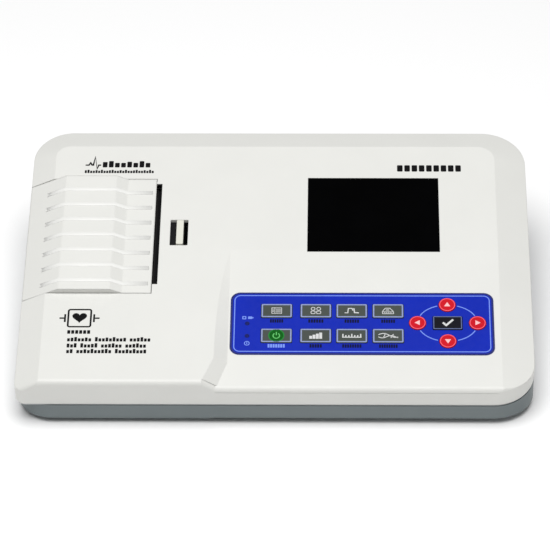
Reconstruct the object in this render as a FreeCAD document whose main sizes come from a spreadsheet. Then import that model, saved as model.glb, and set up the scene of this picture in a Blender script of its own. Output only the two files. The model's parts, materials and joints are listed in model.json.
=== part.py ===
import FreeCAD, Part
import math
import os

import Sketcher
from FreeCAD import Placement, Rotation, Vector

# A desk-top three-channel ECG recorder with a thermal printer, in millimetres.
# World frame: X to the user's right, Y to the back, Z up, origin under the middle of the case on the table.
# Lid frame: X as the world's, Y up the sloping lid from the front seam, Z out of the lid.
# Key frame: X as the world's, Y up the steeper key facet from its crease with the lid, Z out of the facet.

doc = FreeCAD.newDocument("ecg_recorder")
sheet = doc.addObject("Spreadsheet::Sheet", "dims")
PIECES = []


# ---------------------------------------------------------------- sizes

class Size:
    """A length with its value and the spreadsheet formula that gives it."""

    def __init__(self, value, formula):
        self.value = float(value)
        self.formula = formula

    def joined(self, other, sign, result):
        return Size(result, f"({self.formula} {sign} {formula(other)})")

    def __add__(self, other):
        return self.joined(other, "+", self.value + value(other))

    def __sub__(self, other):
        return self.joined(other, "-", self.value - value(other))

    def __mul__(self, other):
        return self.joined(other, "*", self.value * value(other))

    def __truediv__(self, other):
        return self.joined(other, "/", self.value / value(other))

    def __radd__(self, other):
        return Size(other + self.value, f"({formula(other)} + {self.formula})")

    def __rsub__(self, other):
        return Size(other - self.value, f"({formula(other)} - {self.formula})")

    def __rmul__(self, other):
        return Size(other * self.value, f"({formula(other)} * {self.formula})")

    def __neg__(self):
        return Size(-self.value, f"(0 - {self.formula})")


def value(size):
    return size.value if isinstance(size, Size) else float(size)


def formula(size):
    return size.formula if isinstance(size, Size) else f"({float(size)!r})"


def hypot(first, second):
    root = math.hypot(first.value, second.value)
    return Size(root, f"sqrt({first.formula} ^ 2 + {second.formula} ^ 2)")


class Sheet:
    """Setting a name stores a driving dimension in the spreadsheet, and reading it gives its Size."""

    def __setattr__(self, name, number):
        row = len(self.__dict__) + 1
        sheet.set(f"A{row}", name)
        sheet.set(f"B{row}", repr(number))
        sheet.setAlias(f"B{row}", name)
        self.__dict__[name] = Size(number, f"dims.{name}")


D = Sheet()


def bind(item, field, size):
    """Give a property the formula of a Size, or a plain number."""
    item.setExpression(field, formula(size))


# ---------------------------------------------------------------- sketch profiles

def bind_constraint(sketch, index, size):
    if isinstance(size, Size):
        sketch.setExpression(f"Constraints[{index}]", size.formula)


def place(sketch, direction, geometry, point, size):
    """Fix one coordinate of a sketch point from the sketch's origin."""
    number = value(size)
    if abs(number) < 1e-9:
        axis = -2 if direction == "DistanceX" else -1
        sketch.addConstraint(Sketcher.Constraint("PointOnObject", geometry, point, axis))
        return
    ends = (-1, 1, geometry, point) if number > 0 else (geometry, point, -1, 1)
    index = sketch.addConstraint(Sketcher.Constraint(direction, *ends, abs(number)))
    bind_constraint(sketch, index, size if number > 0 else 0 - size)


def rect(left, right, low, high, radii=0):
    """A rectangle with rounded corners; radii runs anticlockwise from the low left corner."""
    radius = radii if isinstance(radii, tuple) else (radii,) * 4
    corner = ((left, low), (right, low), (right, high), (left, high))
    step = (Vector(1, 0, 0), Vector(0, 1, 0), Vector(-1, 0, 0), Vector(0, -1, 0))

    def draw(sketch):
        point = [Vector(value(x), value(y), 0) for x, y in corner]
        lines = []
        for i in range(4):
            start = point[i] + step[i] * value(radius[i])
            end = point[(i + 1) % 4] - step[i] * value(radius[(i + 1) % 4])
            lines.append(sketch.addGeometry(Part.LineSegment(start, end)))
            kind = "Vertical" if i % 2 else "Horizontal"
            sketch.addConstraint(Sketcher.Constraint(kind, lines[i]))
        place(sketch, "DistanceY", lines[0], 1, low)
        place(sketch, "DistanceX", lines[1], 1, right)
        place(sketch, "DistanceY", lines[2], 1, high)
        place(sketch, "DistanceX", lines[3], 1, left)
        for i in range(4):
            before, after = lines[i - 1], lines[i]
            if value(radius[i]) == 0:
                sketch.addConstraint(Sketcher.Constraint("Coincident", before, 2, after, 1))
                continue
            centre = point[i] + (step[i] - step[i - 1]) * value(radius[i])
            circle = Part.Circle(centre, Vector(0, 0, 1), value(radius[i]))
            turn = math.pi * (1 + i / 2)
            arc = sketch.addGeometry(Part.ArcOfCircle(circle, turn, turn + math.pi / 2))
            sketch.addConstraint(Sketcher.Constraint("Tangent", before, 2, arc, 1))
            sketch.addConstraint(Sketcher.Constraint("Tangent", arc, 2, after, 1))
            index = sketch.addConstraint(Sketcher.Constraint("Radius", arc, value(radius[i])))
            bind_constraint(sketch, index, radius[i])

    return draw


def poly(*corners):
    """A closed polygon with each corner fixed from the origin."""
    def draw(sketch):
        point = [Vector(value(x), value(y), 0) for x, y in corners]
        lines = []
        for i, start in enumerate(point):
            end = point[(i + 1) % len(point)]
            lines.append(sketch.addGeometry(Part.LineSegment(start, end)))
        for i, (x, y) in enumerate(corners):
            sketch.addConstraint(Sketcher.Constraint("Coincident", lines[i - 1], 2, lines[i], 1))
            place(sketch, "DistanceX", lines[i], 1, x)
            place(sketch, "DistanceY", lines[i], 1, y)

    return draw


def circle(x, y, radius):
    def draw(sketch):
        shape = Part.Circle(Vector(value(x), value(y), 0), Vector(0, 0, 1), value(radius))
        ring = sketch.addGeometry(shape)
        place(sketch, "DistanceX", ring, 3, x)
        place(sketch, "DistanceY", ring, 3, y)
        index = sketch.addConstraint(Sketcher.Constraint("Radius", ring, value(radius)))
        bind_constraint(sketch, index, radius)

    return draw


# ---------------------------------------------------------------- piece builder

class Piece:
    """A PartDesign body built from prisms that run from a start coordinate along one axis of its frame."""

    def __init__(self, label, kept=True):
        self.body = doc.addObject("PartDesign::Body", label)
        self.body.Label = label
        self.label = label
        if kept:
            PIECES.append(self.body)

    def origin(self, role):
        return next(item for item in self.body.Origin.OriginFeatures if item.Role == role)

    def sketch(self, plane, start, profiles):
        made = self.body.newObject("Sketcher::SketchObject", f"{self.label}_sketch")
        made.AttachmentSupport = [(self.origin(f"{plane}_Plane"), "")]
        made.MapMode = "FlatFace"
        # The XZ plane faces -Y, so its offset runs the other way.
        bind(made, "AttachmentOffset.Base.z", -Size(value(start), formula(start)) if plane == "XZ" else start)
        for profile in profiles:
            profile(made)
        return made

    def prism(self, kind, plane, start, length, profiles, along):
        made = self.body.newObject(f"PartDesign::{kind}", f"{self.label}_{kind.lower()}")
        made.Profile = self.sketch(plane, start, profiles)
        made.Reversed = (plane == "XZ") == along
        bind(made, "Length", length)
        doc.recompute()
        return made

    def pad(self, plane, start, length, *profiles):
        self.prism("Pad", plane, start, length, profiles, True)
        return self

    def cut(self, plane, start, length, *profiles):
        before = self.body.Shape.Volume
        self.prism("Pocket", plane, start, length, profiles, False)
        if self.body.Shape.Volume > before - 1e-4:
            raise RuntimeError(f"{self.label}: a pocket cut nothing")
        return self

    def loft(self, low, low_profile, high, high_profile):
        bottom = self.sketch("XY", low, (low_profile,))
        top = self.sketch("XY", high, (high_profile,))
        made = self.body.newObject("PartDesign::AdditiveLoft", f"{self.label}_loft")
        made.Profile = bottom
        made.Sections = [top]
        made.Ruled = True
        doc.recompute()
        return self

    def round(self, radius, test):
        """Fillet the edges of the last feature that the test accepts."""
        tip = self.body.Tip
        names = [f"Edge{i + 1}" for i, edge in enumerate(tip.Shape.Edges) if test(edge)]
        made = self.body.newObject("PartDesign::Fillet", f"{self.label}_fillet")
        made.Base = (tip, names)
        bind(made, "Radius", radius)
        doc.recompute()
        return self

    def repeat(self, axis, length, count):
        """Repeat the last feature in a line; length is from the first to the last."""
        source = self.body.Tip
        made = self.body.newObject("PartDesign::LinearPattern", f"{self.label}_row")
        made.Originals = [source]
        made.Direction = (self.origin(f"{axis}_Axis"), [""])
        bind(made, "Length", length)
        made.Occurrences = count
        self.body.Tip = made
        doc.recompute()
        return self

    def repeat_round(self, axis, count):
        source = self.body.Tip
        made = self.body.newObject("PartDesign::PolarPattern", f"{self.label}_ring")
        made.Originals = [source]
        made.Axis = (self.origin(f"{axis}_Axis"), [""])
        made.Angle = 360
        made.Occurrences = count
        self.body.Tip = made
        doc.recompute()
        return self

    def at(self, frame):
        self.body.Placement = frame
        return self


def group(label, members, frame):
    """Several separate solids in one node."""
    made = doc.addObject("Part::Compound", label)
    made.Label = label
    made.Links = [member.body for member in members]
    made.Placement = frame
    doc.recompute()
    PIECES.append(made)


def boolean(kind, label, base, tools, frame=None):
    """A Part boolean of bodies; with a frame it is a finished sub-part."""
    tool = tools[0]
    if len(tools) > 1:
        tool = doc.addObject("Part::MultiFuse", f"{label}_tools")
        tool.Shapes = tools
    made = doc.addObject(f"Part::{kind}", label)
    made.Base = base
    made.Tool = tool
    doc.recompute()
    if frame is not None:
        made.Label = label
        made.Placement = frame
        PIECES.append(made)
    return made


def shared(label):
    """A body that is only a tool of a boolean."""
    return Piece(label, kept=False)


# ---------------------------------------------------------------- frames and the case's driving sizes

D.case_width = 315
D.seam_run = 212
D.seam_rise = 45
D.seam_front_height = 15
D.wall = 2.5
D.lid_shoulder = 12
D.lid_top = 20
D.front_round = 3
D.bevel_left = 15
D.bevel_right = 20
D.bevel_back = 19.5
D.bevel_front_edge = 9.3
D.bevel_overrun = 5
D.back_left_radius = 25
D.back_right_radius = 28
D.front_right_radius = 25
D.lid_front_left_radius = 6
D.base_front_left_radius = 22
D.gasket_thick = 1.2
D.facet_run = 108
D.facet_drop = 6.3
D.running_gap = 0.05

half_width = D.case_width / 2
lid_length = hypot(D.seam_run, D.seam_rise)
TILT = math.atan2(D.seam_rise.value, D.seam_run.value)
# The lid's front wall leans out over the front seam by this much, so the seam starts that far back.
front_lean = (D.lid_top - D.front_round) * (D.seam_rise / D.seam_run) * math.cos(TILT)
front_y = front_lean / 2 - D.seam_run / 2
back_y = front_y + D.seam_run

WORLD = Placement()
LID = Placement(Vector(0, front_y.value, D.seam_front_height.value),
                Rotation(Vector(1, 0, 0), math.degrees(TILT)))
FACET_TILT = math.atan2(D.facet_drop.value, D.facet_run.value)
FACET_IN_LID = Placement(Vector(0, D.facet_run.value, D.lid_top.value),
                         Rotation(Vector(1, 0, 0), math.degrees(FACET_TILT)))
KEYS = LID.multiply(FACET_IN_LID)
# Sections across the lid: heights run along local Y, distances towards the front along local Z.
SECTIONS_IN_LID = Placement(Vector(0, D.facet_run.value, 0), Rotation(Vector(1, 0, 0), 90))
# Where the key facet meets the front wall.
CREASE_IN_LID = Placement(Vector(0, 0, D.lid_top.value - D.facet_drop.value),
                          Rotation(Vector(1, 0, 0), math.degrees(FACET_TILT)))
# Sections along the front wall: local X runs to the back, local Y up and local Z to the right.
WALL_SECTIONS = Placement(Vector(0, 0, 0), Rotation(Vector(1, 1, 1), 120))


def seam_height(y):
    """World height of the seam plane at a distance behind the front seam."""
    return D.seam_front_height + y * (D.seam_rise / D.seam_run)


# ---------------------------------------------------------------- base

D.base_floor = 4.4
D.skid_height = 3.0
D.skid_right = -38
D.skid_ramp = 6
D.base_edge_round = 2
D.back_recess_left = 12
D.back_recess_right = 127.5
D.back_recess_low = 15
D.back_recess_high = 45
D.side_recess_front = 100
D.side_recess_back = 172
D.side_recess_low = 12
D.side_recess_high = 32
D.recess_depth = 9
D.panel_thick = 3
D.inlet_x = 101
D.inlet_z = 30
D.inlet_hole_width = 27.6
D.inlet_hole_height = 20.4
D.inlet_screw_pitch = 40
D.inlet_screw_radius = 1.5
D.switch_x = 62
D.switch_hole_width = 19.4
D.switch_hole_height = 13.2
D.fuse_x = 38
D.fuse_low = 22
D.fuse_high = 38
D.fuse_hole_radius = 6.1
D.post_x = 22
D.post_stem_radius = 2.5
D.port_y = 125
D.port_z = 22
D.port_flange_half = 19.6
D.port_flange_height = 12.5
D.jackscrew_pitch = 33.3
D.usb_offset = 33
D.usb_width = 13.1
D.usb_height = 5.7
D.battery_door_left = -48
D.battery_door_right = 48
D.battery_door_front = 57
D.battery_door_back = 138
D.vent_count = 9
D.vent_width = 2.4
D.vent_height = 16
D.vent_pitch = 7
D.boss_radius = 4.6
D.boss_head_bore = 3.3
D.boss_screw_bore = 1.7
D.boss_head_drop = 9

base_inner_floor = D.base_floor + D.wall
panel_back_y = back_y - D.recess_depth
panel_side_x = half_width - D.recess_depth
# Case screws, as (x, distance behind the front seam in the seam plane).
CASE_SCREWS = ((-118, 34), (134, 26), (-128, 190), (124, 190))
tilt_cosine = math.cos(TILT)


def bottom_edge(edge):
    return edge.BoundBox.ZMax < D.skid_height.value + 0.01


def build_bottom_case():
    case = Piece("bottom_case")
    tall = D.seam_front_height + D.seam_rise + 5
    radii = (D.base_front_left_radius, D.front_right_radius, D.back_right_radius, D.back_left_radius)
    case.pad("XY", D.skid_height, tall, rect(-half_width, half_width, front_y, back_y, radii))
    case.round(D.base_edge_round, bottom_edge)
    # Only the printer's side reaches the skid height.
    case.cut("XZ", front_y - 5, D.seam_run + 10, poly(
        (D.skid_right - D.skid_ramp, D.skid_height - 5),
        (D.skid_right - D.skid_ramp, D.skid_height),
        (D.skid_right, D.base_floor),
        (half_width + 5, D.base_floor),
        (half_width + 5, D.skid_height - 5)))
    inner = tuple(radius - D.wall for radius in radii)
    case.cut("XY", base_inner_floor, tall, rect(
        D.wall - half_width, half_width - D.wall, front_y + D.wall, back_y - D.wall, inner))
    # Recessed connector panels at the back and on the right side.
    case.pad("XZ", panel_back_y - D.panel_thick, D.recess_depth + D.panel_thick - 1, rect(
        D.back_recess_left - D.wall, D.back_recess_right + D.wall, D.back_recess_low - D.wall,
        D.back_recess_high + D.wall))
    case.cut("XZ", panel_back_y, D.recess_depth + 1, rect(
        D.back_recess_left, D.back_recess_right, D.back_recess_low, D.back_recess_high, 2))
    side_front = front_y + D.side_recess_front
    side_back = front_y + D.side_recess_back
    case.pad("YZ", panel_side_x - D.panel_thick, D.recess_depth + D.panel_thick - 1, rect(
        side_front - D.wall, side_back + D.wall, base_inner_floor - 1, D.side_recess_high + D.wall))
    case.cut("YZ", panel_side_x, D.recess_depth + 1, rect(
        side_front, side_back, D.side_recess_low, D.side_recess_high, 2))
    # Openings in the back panel.
    case.cut("XZ", panel_back_y - D.panel_thick - 1, D.panel_thick + 2, rect(
        D.inlet_x - D.inlet_hole_width / 2, D.inlet_x + D.inlet_hole_width / 2,
        D.inlet_z - D.inlet_hole_height / 2, D.inlet_z + D.inlet_hole_height / 2))
    case.cut("XZ", panel_back_y - D.panel_thick - 1, D.panel_thick + 2, rect(
        D.switch_x - D.switch_hole_width / 2, D.switch_x + D.switch_hole_width / 2,
        D.inlet_z - D.switch_hole_height / 2, D.inlet_z + D.switch_hole_height / 2))
    for side in (-1, 1):
        case.cut("XZ", panel_back_y - D.panel_thick - 1, D.panel_thick + 2, circle(
            D.inlet_x + side * D.inlet_screw_pitch / 2, D.inlet_z, D.inlet_screw_radius + D.running_gap))
    for height in (D.fuse_low, D.fuse_high):
        case.cut("XZ", panel_back_y - D.panel_thick - 1, D.panel_thick + 2,
                 circle(D.fuse_x, height, D.fuse_hole_radius))
    case.cut("XZ", panel_back_y - D.panel_thick - 1, D.panel_thick + 2,
             circle(D.post_x, D.inlet_z, D.post_stem_radius + 0.05))
    # Openings in the side panel.
    port_y = front_y + D.port_y
    for centre, half_long, half_high in ((port_y, 12.7, 4.6), (port_y + D.usb_offset, 6.7, 3.0)):
        case.cut("YZ", panel_side_x - D.panel_thick - 1, D.panel_thick + 2, rect(
            centre - half_long, centre + half_long, D.port_z - half_high, D.port_z + half_high))
    for side in (-1, 1):
        case.cut("YZ", panel_side_x - D.panel_thick - 1, D.panel_thick + 2,
                 circle(port_y + side * D.jackscrew_pitch / 2, D.port_z, 1.6))
    # Battery hatch opening with a step that carries the hatch.
    hatch_front = front_y + D.battery_door_front
    hatch_back = front_y + D.battery_door_back
    case.cut("XY", D.base_floor - 1, D.wall + 2, rect(
        D.battery_door_left + 4, D.battery_door_right - 4, hatch_front + 4, hatch_back - 4, 2))
    case.cut("XY", D.base_floor - 3, 3 + D.wall / 2, rect(
        D.battery_door_left, D.battery_door_right, hatch_front, hatch_back, 3))
    # Cooling slots behind the printer.
    case.cut("XZ", back_y - D.wall - 1, D.wall + 2, rect(
        -D.vent_pitch * 9 - 40, -D.vent_pitch * 9 - 40 + D.vent_width, 24, 24 + D.vent_height))
    case.repeat("X", D.vent_pitch * (D.vent_count - 1), int(D.vent_count.value))
    # Screw bosses with deep head bores from below.
    for x, along in CASE_SCREWS:
        y = front_y + along * tilt_cosine
        seam = seam_height(along * tilt_cosine)
        top = seam - D.gasket_thick - 1
        case.pad("XY", base_inner_floor - 1, top - base_inner_floor + 1, circle(x, y, D.boss_radius))
        case.cut("XY", D.skid_height - 1, top - D.boss_head_drop - D.skid_height + 1,
                 circle(x, y, D.boss_head_bore))
        case.cut("XY", top - D.boss_head_drop - 1, D.boss_head_drop + 2, circle(x, y, D.boss_screw_bore))
    # Everything above the sloping seam goes.
    drop = D.gasket_thick / tilt_cosine
    case.cut("YZ", -half_width - 5, D.case_width + 10, poly(
        (front_y - 20, seam_height(-20) - drop),
        (back_y + 20, seam_height(D.seam_run + 20) - drop),
        (back_y + 20, tall + 40),
        (front_y - 20, tall + 40)))
    case.at(WORLD)


def build_seam_gasket():
    inset = 0.4
    outer = (D.lid_front_left_radius, D.front_right_radius, D.back_right_radius, D.back_left_radius)
    inner_inset = 4.5
    ring = Piece("seam_gasket")
    ring.pad("XY", -D.gasket_thick, D.gasket_thick, rect(
        inset - half_width, half_width - inset, inset, lid_length - inset, outer))
    ring.cut("XY", -D.gasket_thick - 1, D.gasket_thick + 2, rect(
        inner_inset - half_width, half_width - inner_inset, inner_inset, lid_length - inner_inset,
        (20, D.front_right_radius - 4, D.back_right_radius - 4, D.back_left_radius - 4)))
    ring.at(LID)


# ---------------------------------------------------------------- lid

D.door_front = 71.9
D.door_back = 168.2
D.door_right = -77.2
D.door_gap = 0.35
D.sill_top = 3.0
D.slot_right = -73.6
D.slot_front = 80.6
D.slot_back = 162.3
D.mouth_front = 79.3
D.mouth_back = 164.2
D.window_left = -67.2
D.window_right = -56.0
D.window_front = 111.7
D.window_back = 133.2
D.screen_left = 18.8
D.screen_right = 101.4
D.screen_front = 106.6
D.screen_back = 169.6
D.screen_depth = 1.4
D.screen_ledge = 4
D.pad_left = -27.7
D.pad_right = 133.3
D.pad_front = -81.7
D.pad_back = -34.0
D.pad_corner = 6
D.pad_sunk = 1.0
D.pad_proud = 0.2
D.key_window_left = -22.5
D.key_window_right = 130.3
D.key_window_front = -78.6
D.key_window_back = -36.6
D.step_foot_back = -29.0
D.step_foot_bend = 20
D.step_foot_front = -36.0
D.step_top_front = -44.0
D.step_run_back = 40
D.step_run_bend = 24
D.step_run_front = 22
D.facet_overrun = 15


def lid_form(label, inset, wall_base, top_drop):
    """The lid's outside, or its inside when inset: upright walls, then a bevel up to the flat."""
    form = shared(label)
    shoulder = D.lid_shoulder - top_drop * 0.6
    outline = rect(inset - half_width, half_width - inset, inset, lid_length - inset, tuple(
        radius - inset * 0.9 for radius in
        (D.lid_front_left_radius, D.front_right_radius, D.back_right_radius, D.back_left_radius)))
    flat = rect(D.bevel_left - half_width + inset * 0.6, half_width - D.bevel_right - inset * 0.6,
                inset, lid_length - D.bevel_back - inset * 0.6, (3, 18, 11, 9))
    form.pad("XY", wall_base, shoulder - wall_base, outline)
    form.loft(shoulder, outline, D.lid_top - top_drop, flat)
    return form.body


def facet_cutter(label, sink, grow):
    """Everything above the key facet, with a ramp on its left that steepens towards the front."""
    cutter = shared(label)
    crest = D.lid_top + 10

    def outline(distance, foot, run):
        low = D.lid_top - D.facet_drop * distance / D.facet_run - sink
        return poly(
            (foot - grow, low), (half_width + 20, low),
            (half_width + 20, crest), (foot - grow - run, crest - sink))

    bend = D.facet_run - D.step_foot_bend
    front = D.facet_run + D.facet_overrun
    at_bend = outline(bend, D.step_foot_back, D.step_run_bend)
    cutter.loft(0, outline(0, D.step_foot_back, D.step_run_back), bend, at_bend)
    cutter.loft(bend, at_bend, front, outline(front, D.step_foot_front - 5, D.step_run_front))
    cutter.at(SECTIONS_IN_LID)
    return cutter.body


def bevel_cutter(label, sink):
    """Everything above the right bevel beside the key facet, where it twists down with the facet."""
    cutter = shared(label)
    length = D.facet_run + D.bevel_overrun
    front_top = D.lid_top - D.facet_drop * length / D.facet_run
    top_x = half_width - D.bevel_right

    def outline(top, edge):
        # The sloping side reaches past both ends of the bevel by a share of its width.
        more = (top - edge) * 0.2
        reach = D.bevel_right * 0.2
        return poly(
            (top_x - reach, top + more - sink),
            (half_width + reach, edge - more - sink),
            (half_width + reach, D.lid_top + 15),
            (top_x - reach, D.lid_top + 15))

    cutter.loft(0, outline(D.lid_top, D.lid_shoulder), length, outline(front_top, D.bevel_front_edge))
    cutter.at(SECTIONS_IN_LID)
    return cutter.body


def crease_cutter(label, left, right, top, frame):
    """What lies outside a rounded crease between the front wall and a top at the given height."""
    cutter = shared(label)
    radius = D.front_round
    cutter.pad("YZ", left, right - left, rect(-1, radius, top - radius, top + 1))
    cutter.cut("YZ", left - 1, right - left + 2, circle(radius, top - radius, radius))
    cutter.at(frame)
    return cutter.body


def ramp_crease_cutter(label):
    """What lies outside the rounded crease where it comes down from the lid's flat to the key facet."""
    cutter = shared(label)
    radius = D.front_round

    def outline(top):
        turns = [math.radians(turn) for turn in (0, 22.5, 45, 67.5, 90)]
        corner = [(radius * (1 - math.cos(a)), top - radius * (1 - math.sin(a))) for a in turns]
        return poly((-1, top - radius), *corner, (radius, top + 2), (-1, top + 2))

    cutter.loft(D.step_top_front, outline(D.lid_top), D.step_foot_front, outline(D.lid_top - D.facet_drop))
    cutter.at(WALL_SECTIONS)
    return cutter.body


def tool(label, plane, start, length, profile, frame=WORLD):
    made = shared(label)
    made.pad(plane, start, length, profile)
    made.at(frame)
    return made.body


def build_top_case():
    outer = lid_form("lid_outer", 0, 0, 0)
    inner = lid_form("lid_inner", D.wall, -1, D.wall)
    outer = boolean("Cut", "lid_faceted", outer, [
        facet_cutter("facet_outer", 0, 0), bevel_cutter("bevel_outer", 0)])
    rounded = boolean("Cut", "lid_rounded", outer, [
        crease_cutter("crease_left", -half_width - 5, D.step_top_front, D.lid_top, WORLD),
        ramp_crease_cutter("crease_ramp"),
        crease_cutter("crease_right", D.step_foot_front, half_width - 10, 0, CREASE_IN_LID)])
    inner = boolean("Cut", "lid_cavity", inner, [
        facet_cutter("facet_inner", D.wall, D.wall * 0.3), bevel_cutter("bevel_inner", D.wall)])
    shell = boolean("Cut", "lid_shell", rounded, [inner])
    bosses = []
    for x, along in CASE_SCREWS:
        boss = shared("lid_boss")
        # The boss stands upright in the world, so it leans back in the lid's frame.
        crown = 17.6 if along > 100 else (18.2 if x < 0 else 13.4)
        boss.pad("XY", 0.4, crown / tilt_cosine, circle(0, 0, D.boss_radius - 0.6))
        boss.cut("XY", 0, 9, circle(0, 0, 1.25))
        boss.at(Placement(Vector(x, along, 0), Rotation(Vector(1, 0, 0), -math.degrees(TILT))))
        bosses.append(boss.body)
    solid = boolean("Fuse", "lid_bossed", shell, bosses)
    gap = D.door_gap
    knuckles = hinge_posts()
    openings = [
        tool("door_opening", "XY", D.sill_top, 30, rect(
            -half_width - 5, D.door_right + gap, D.door_front - gap, D.door_back + gap)),
        tool("slot_opening", "XY", D.lid_shoulder, 20, rect(
            D.door_right, D.slot_right, D.mouth_front, D.mouth_back)),
        tool("latch_opening", "XY", D.lid_shoulder, 20, rect(
            D.window_left, D.window_right, D.window_front, D.window_back, 0.6)),
        tool("screen_recess", "XY", D.lid_top - D.screen_depth, 10, rect(
            D.screen_left, D.screen_right, D.screen_front, D.screen_back)),
        tool("screen_opening", "XY", D.lid_shoulder, 10, rect(
            D.screen_left + D.screen_ledge, D.screen_right - D.screen_ledge,
            D.screen_front + D.screen_ledge, D.screen_back - D.screen_ledge)),
        tool("pad_recess", "XY", -D.pad_sunk, 10, rect(
            D.pad_left - 0.15, D.pad_right + 0.15, D.pad_front - 0.15, D.pad_back + 0.15,
            D.pad_corner), FACET_IN_LID),
        tool("key_window", "XY", -6, 12, rect(
            D.key_window_left, D.key_window_right, D.key_window_front, D.key_window_back, 2),
            FACET_IN_LID),
    ]
    opened = boolean("Cut", "lid_opened", solid, openings)
    boolean("Fuse", "top_case", opened, knuckles, LID)


# ---------------------------------------------------------------- paper cover and its hinge

D.hinge_x = -155.2
D.hinge_z = 6.0
D.hinge_radius = 2.2
D.pin_radius = 1.0
D.cover_skin = 2.2
D.hump_left = -134.5
D.hump_right = -102.5
D.hump_foot = -95.3
D.hump_top = 23.5
D.cover_shoulder = 12
D.rib_proud = 0.35
D.rib_wide = 2.0
D.rib_tail = 12
D.rib_first = 79.7
D.rib_pitch = 12.77
D.cover_end_thick = 3
D.platen_x = -83
D.platen_z = 11
D.platen_radius = 5.5
D.shaft_radius = 2.5
D.journal_radius = 1.8
D.bush_radius = 2.9
D.latch_notch_x = -80.6
D.latch_notch_low = 13.2
D.latch_notch_high = 16.6

# Front and back ends of the hinge knuckles along the lid.
FIXED_KNUCKLES = ((74, 84), (115, 125), (156, 166))
COVER_KNUCKLES = ((84.3, 114.7), (125.3, 155.7))


def knuckle_profile(low):
    return rect(D.hinge_x - 1.9, D.hinge_x + 0.2, low, D.hinge_z)


def hinge_posts():
    """The knuckles that stand on the sill and hold the pin."""
    posts = []
    for front, back in FIXED_KNUCKLES:
        post = shared("hinge_post")
        post.pad("XZ", front, back - front, circle(D.hinge_x, D.hinge_z, D.hinge_radius))
        post.pad("XZ", front, back - front, knuckle_profile(D.sill_top - 1))
        post.cut("XZ", front - 1, back - front + 2, circle(D.hinge_x, D.hinge_z, D.pin_radius))
        posts.append(post.body)
    return posts


def build_paper_cover():
    left = -half_width
    skin = D.cover_skin
    length = D.door_back - D.door_front
    wall_foot = D.hinge_z + D.hinge_radius + 0.4
    cover = Piece("paper_cover")
    cover.pad("XZ", D.door_front, length, poly(
        (left, wall_foot),
        (left, D.cover_shoulder),
        (D.hump_left, D.hump_top),
        (D.hump_right, D.hump_top),
        (D.hump_foot, D.lid_top),
        (D.door_right, D.lid_top),
        (D.door_right, D.lid_top - skin),
        (D.hump_foot - 0.7, D.lid_top - skin),
        (D.hump_right - 0.7, D.hump_top - skin),
        (D.hump_left + 0.6, D.hump_top - skin),
        (left + skin + 0.3, D.cover_shoulder - 1.2),
        (left + skin + 0.3, wall_foot)))
    # End plates carry the platen's bushes and hide the bay from the ends.
    for start in (D.door_front, D.door_back - D.cover_end_thick):
        cover.pad("XZ", start, D.cover_end_thick, poly(
            (-152.5, 9.0), (-92.0, 9.0), (-88.0, 6.8), (D.door_right - 1, 6.8),
            (D.door_right - 1, D.lid_top - 1), (D.hump_foot - 0.9, D.lid_top - 1),
            (D.hump_right - 0.5, D.hump_top - 1), (D.hump_left + 0.3, D.hump_top - 1),
            (-152.5, 13.0)))
    for front, back in COVER_KNUCKLES:
        cover.pad("XZ", front, back - front, circle(D.hinge_x, D.hinge_z, D.hinge_radius))
        cover.pad("XZ", front, back - front, rect(
            D.hinge_x - D.hinge_radius + 0.05, D.hinge_x, D.hinge_z, wall_foot + 1))
        cover.cut("XZ", front - 1, back - front + 2,
                  circle(D.hinge_x, D.hinge_z, D.pin_radius + D.running_gap))
    # Thin raised ribs follow the skin across the cover and run out on the ramp at its left.
    proud = D.rib_proud
    rib_left = D.hump_left - D.rib_tail
    rib_left_height = D.hump_top - (D.hump_top - D.cover_shoulder) * D.rib_tail / (half_width + D.hump_left)
    cover.pad("XZ", D.rib_first - D.rib_wide / 2, D.rib_wide, poly(
        (rib_left, rib_left_height),
        (D.hump_left - 0.1, D.hump_top + proud),
        (D.hump_right + 0.1, D.hump_top + proud),
        (D.hump_foot + 0.1, D.lid_top + proud),
        (D.door_right - 2.4, D.lid_top + proud),
        (D.door_right - 2.4, D.lid_top - 0.5),
        (D.hump_foot - 0.3, D.lid_top - 0.5),
        (D.hump_right - 0.3, D.hump_top - 0.5),
        (D.hump_left + 0.2, D.hump_top - 0.5),
        (rib_left, rib_left_height - 0.5)))
    cover.repeat("Y", D.rib_pitch * 6, 7)
    # Notches for the latch arms, and bush holes.
    for start in (D.door_front, D.door_back - D.cover_end_thick):
        cover.cut("XZ", start - 0.5, D.cover_end_thick + 1, rect(
            D.latch_notch_x, D.door_right - 0.9, D.latch_notch_low, D.latch_notch_high))
        cover.cut("XZ", start - 0.5, D.cover_end_thick + 1,
                  circle(D.platen_x, D.platen_z, D.bush_radius))
    cover.at(LID)

    pin = Piece("cover_hinge_pin")
    pin.pad("XZ", FIXED_KNUCKLES[0][0] - 0.5, FIXED_KNUCKLES[-1][1] - FIXED_KNUCKLES[0][0] + 1,
            circle(D.hinge_x, D.hinge_z, D.pin_radius))
    pin.at(LID)


# ---------------------------------------------------------------- platen and its gear train

D.gear_module = 0.6
D.gear_front = 75.7
D.gear_width = 3.6
D.platen_teeth = 18
D.idler_teeth = 26
D.pinion_teeth = 12
D.gear_slack = 0.15
D.idler_left_of_platen = 3.0
D.pinion_right_of_idler = 4.5
D.tooth_share = 0.36
D.idler_bore = 2.0
D.motor_shaft_radius = 1.0


def pitch_radius(teeth):
    return D.gear_module * teeth / 2


def gear_place(start_x, start_z, teeth, other_teeth, shift):
    """Centre of the gear below, meshing with the one at the start point, and the mesh direction."""
    apart = value(pitch_radius(teeth)) + value(pitch_radius(other_teeth)) + D.gear_slack.value
    fall = math.sqrt(apart ** 2 - shift ** 2)
    return start_x + shift, start_z - fall, math.degrees(math.atan2(-fall, shift))


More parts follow.
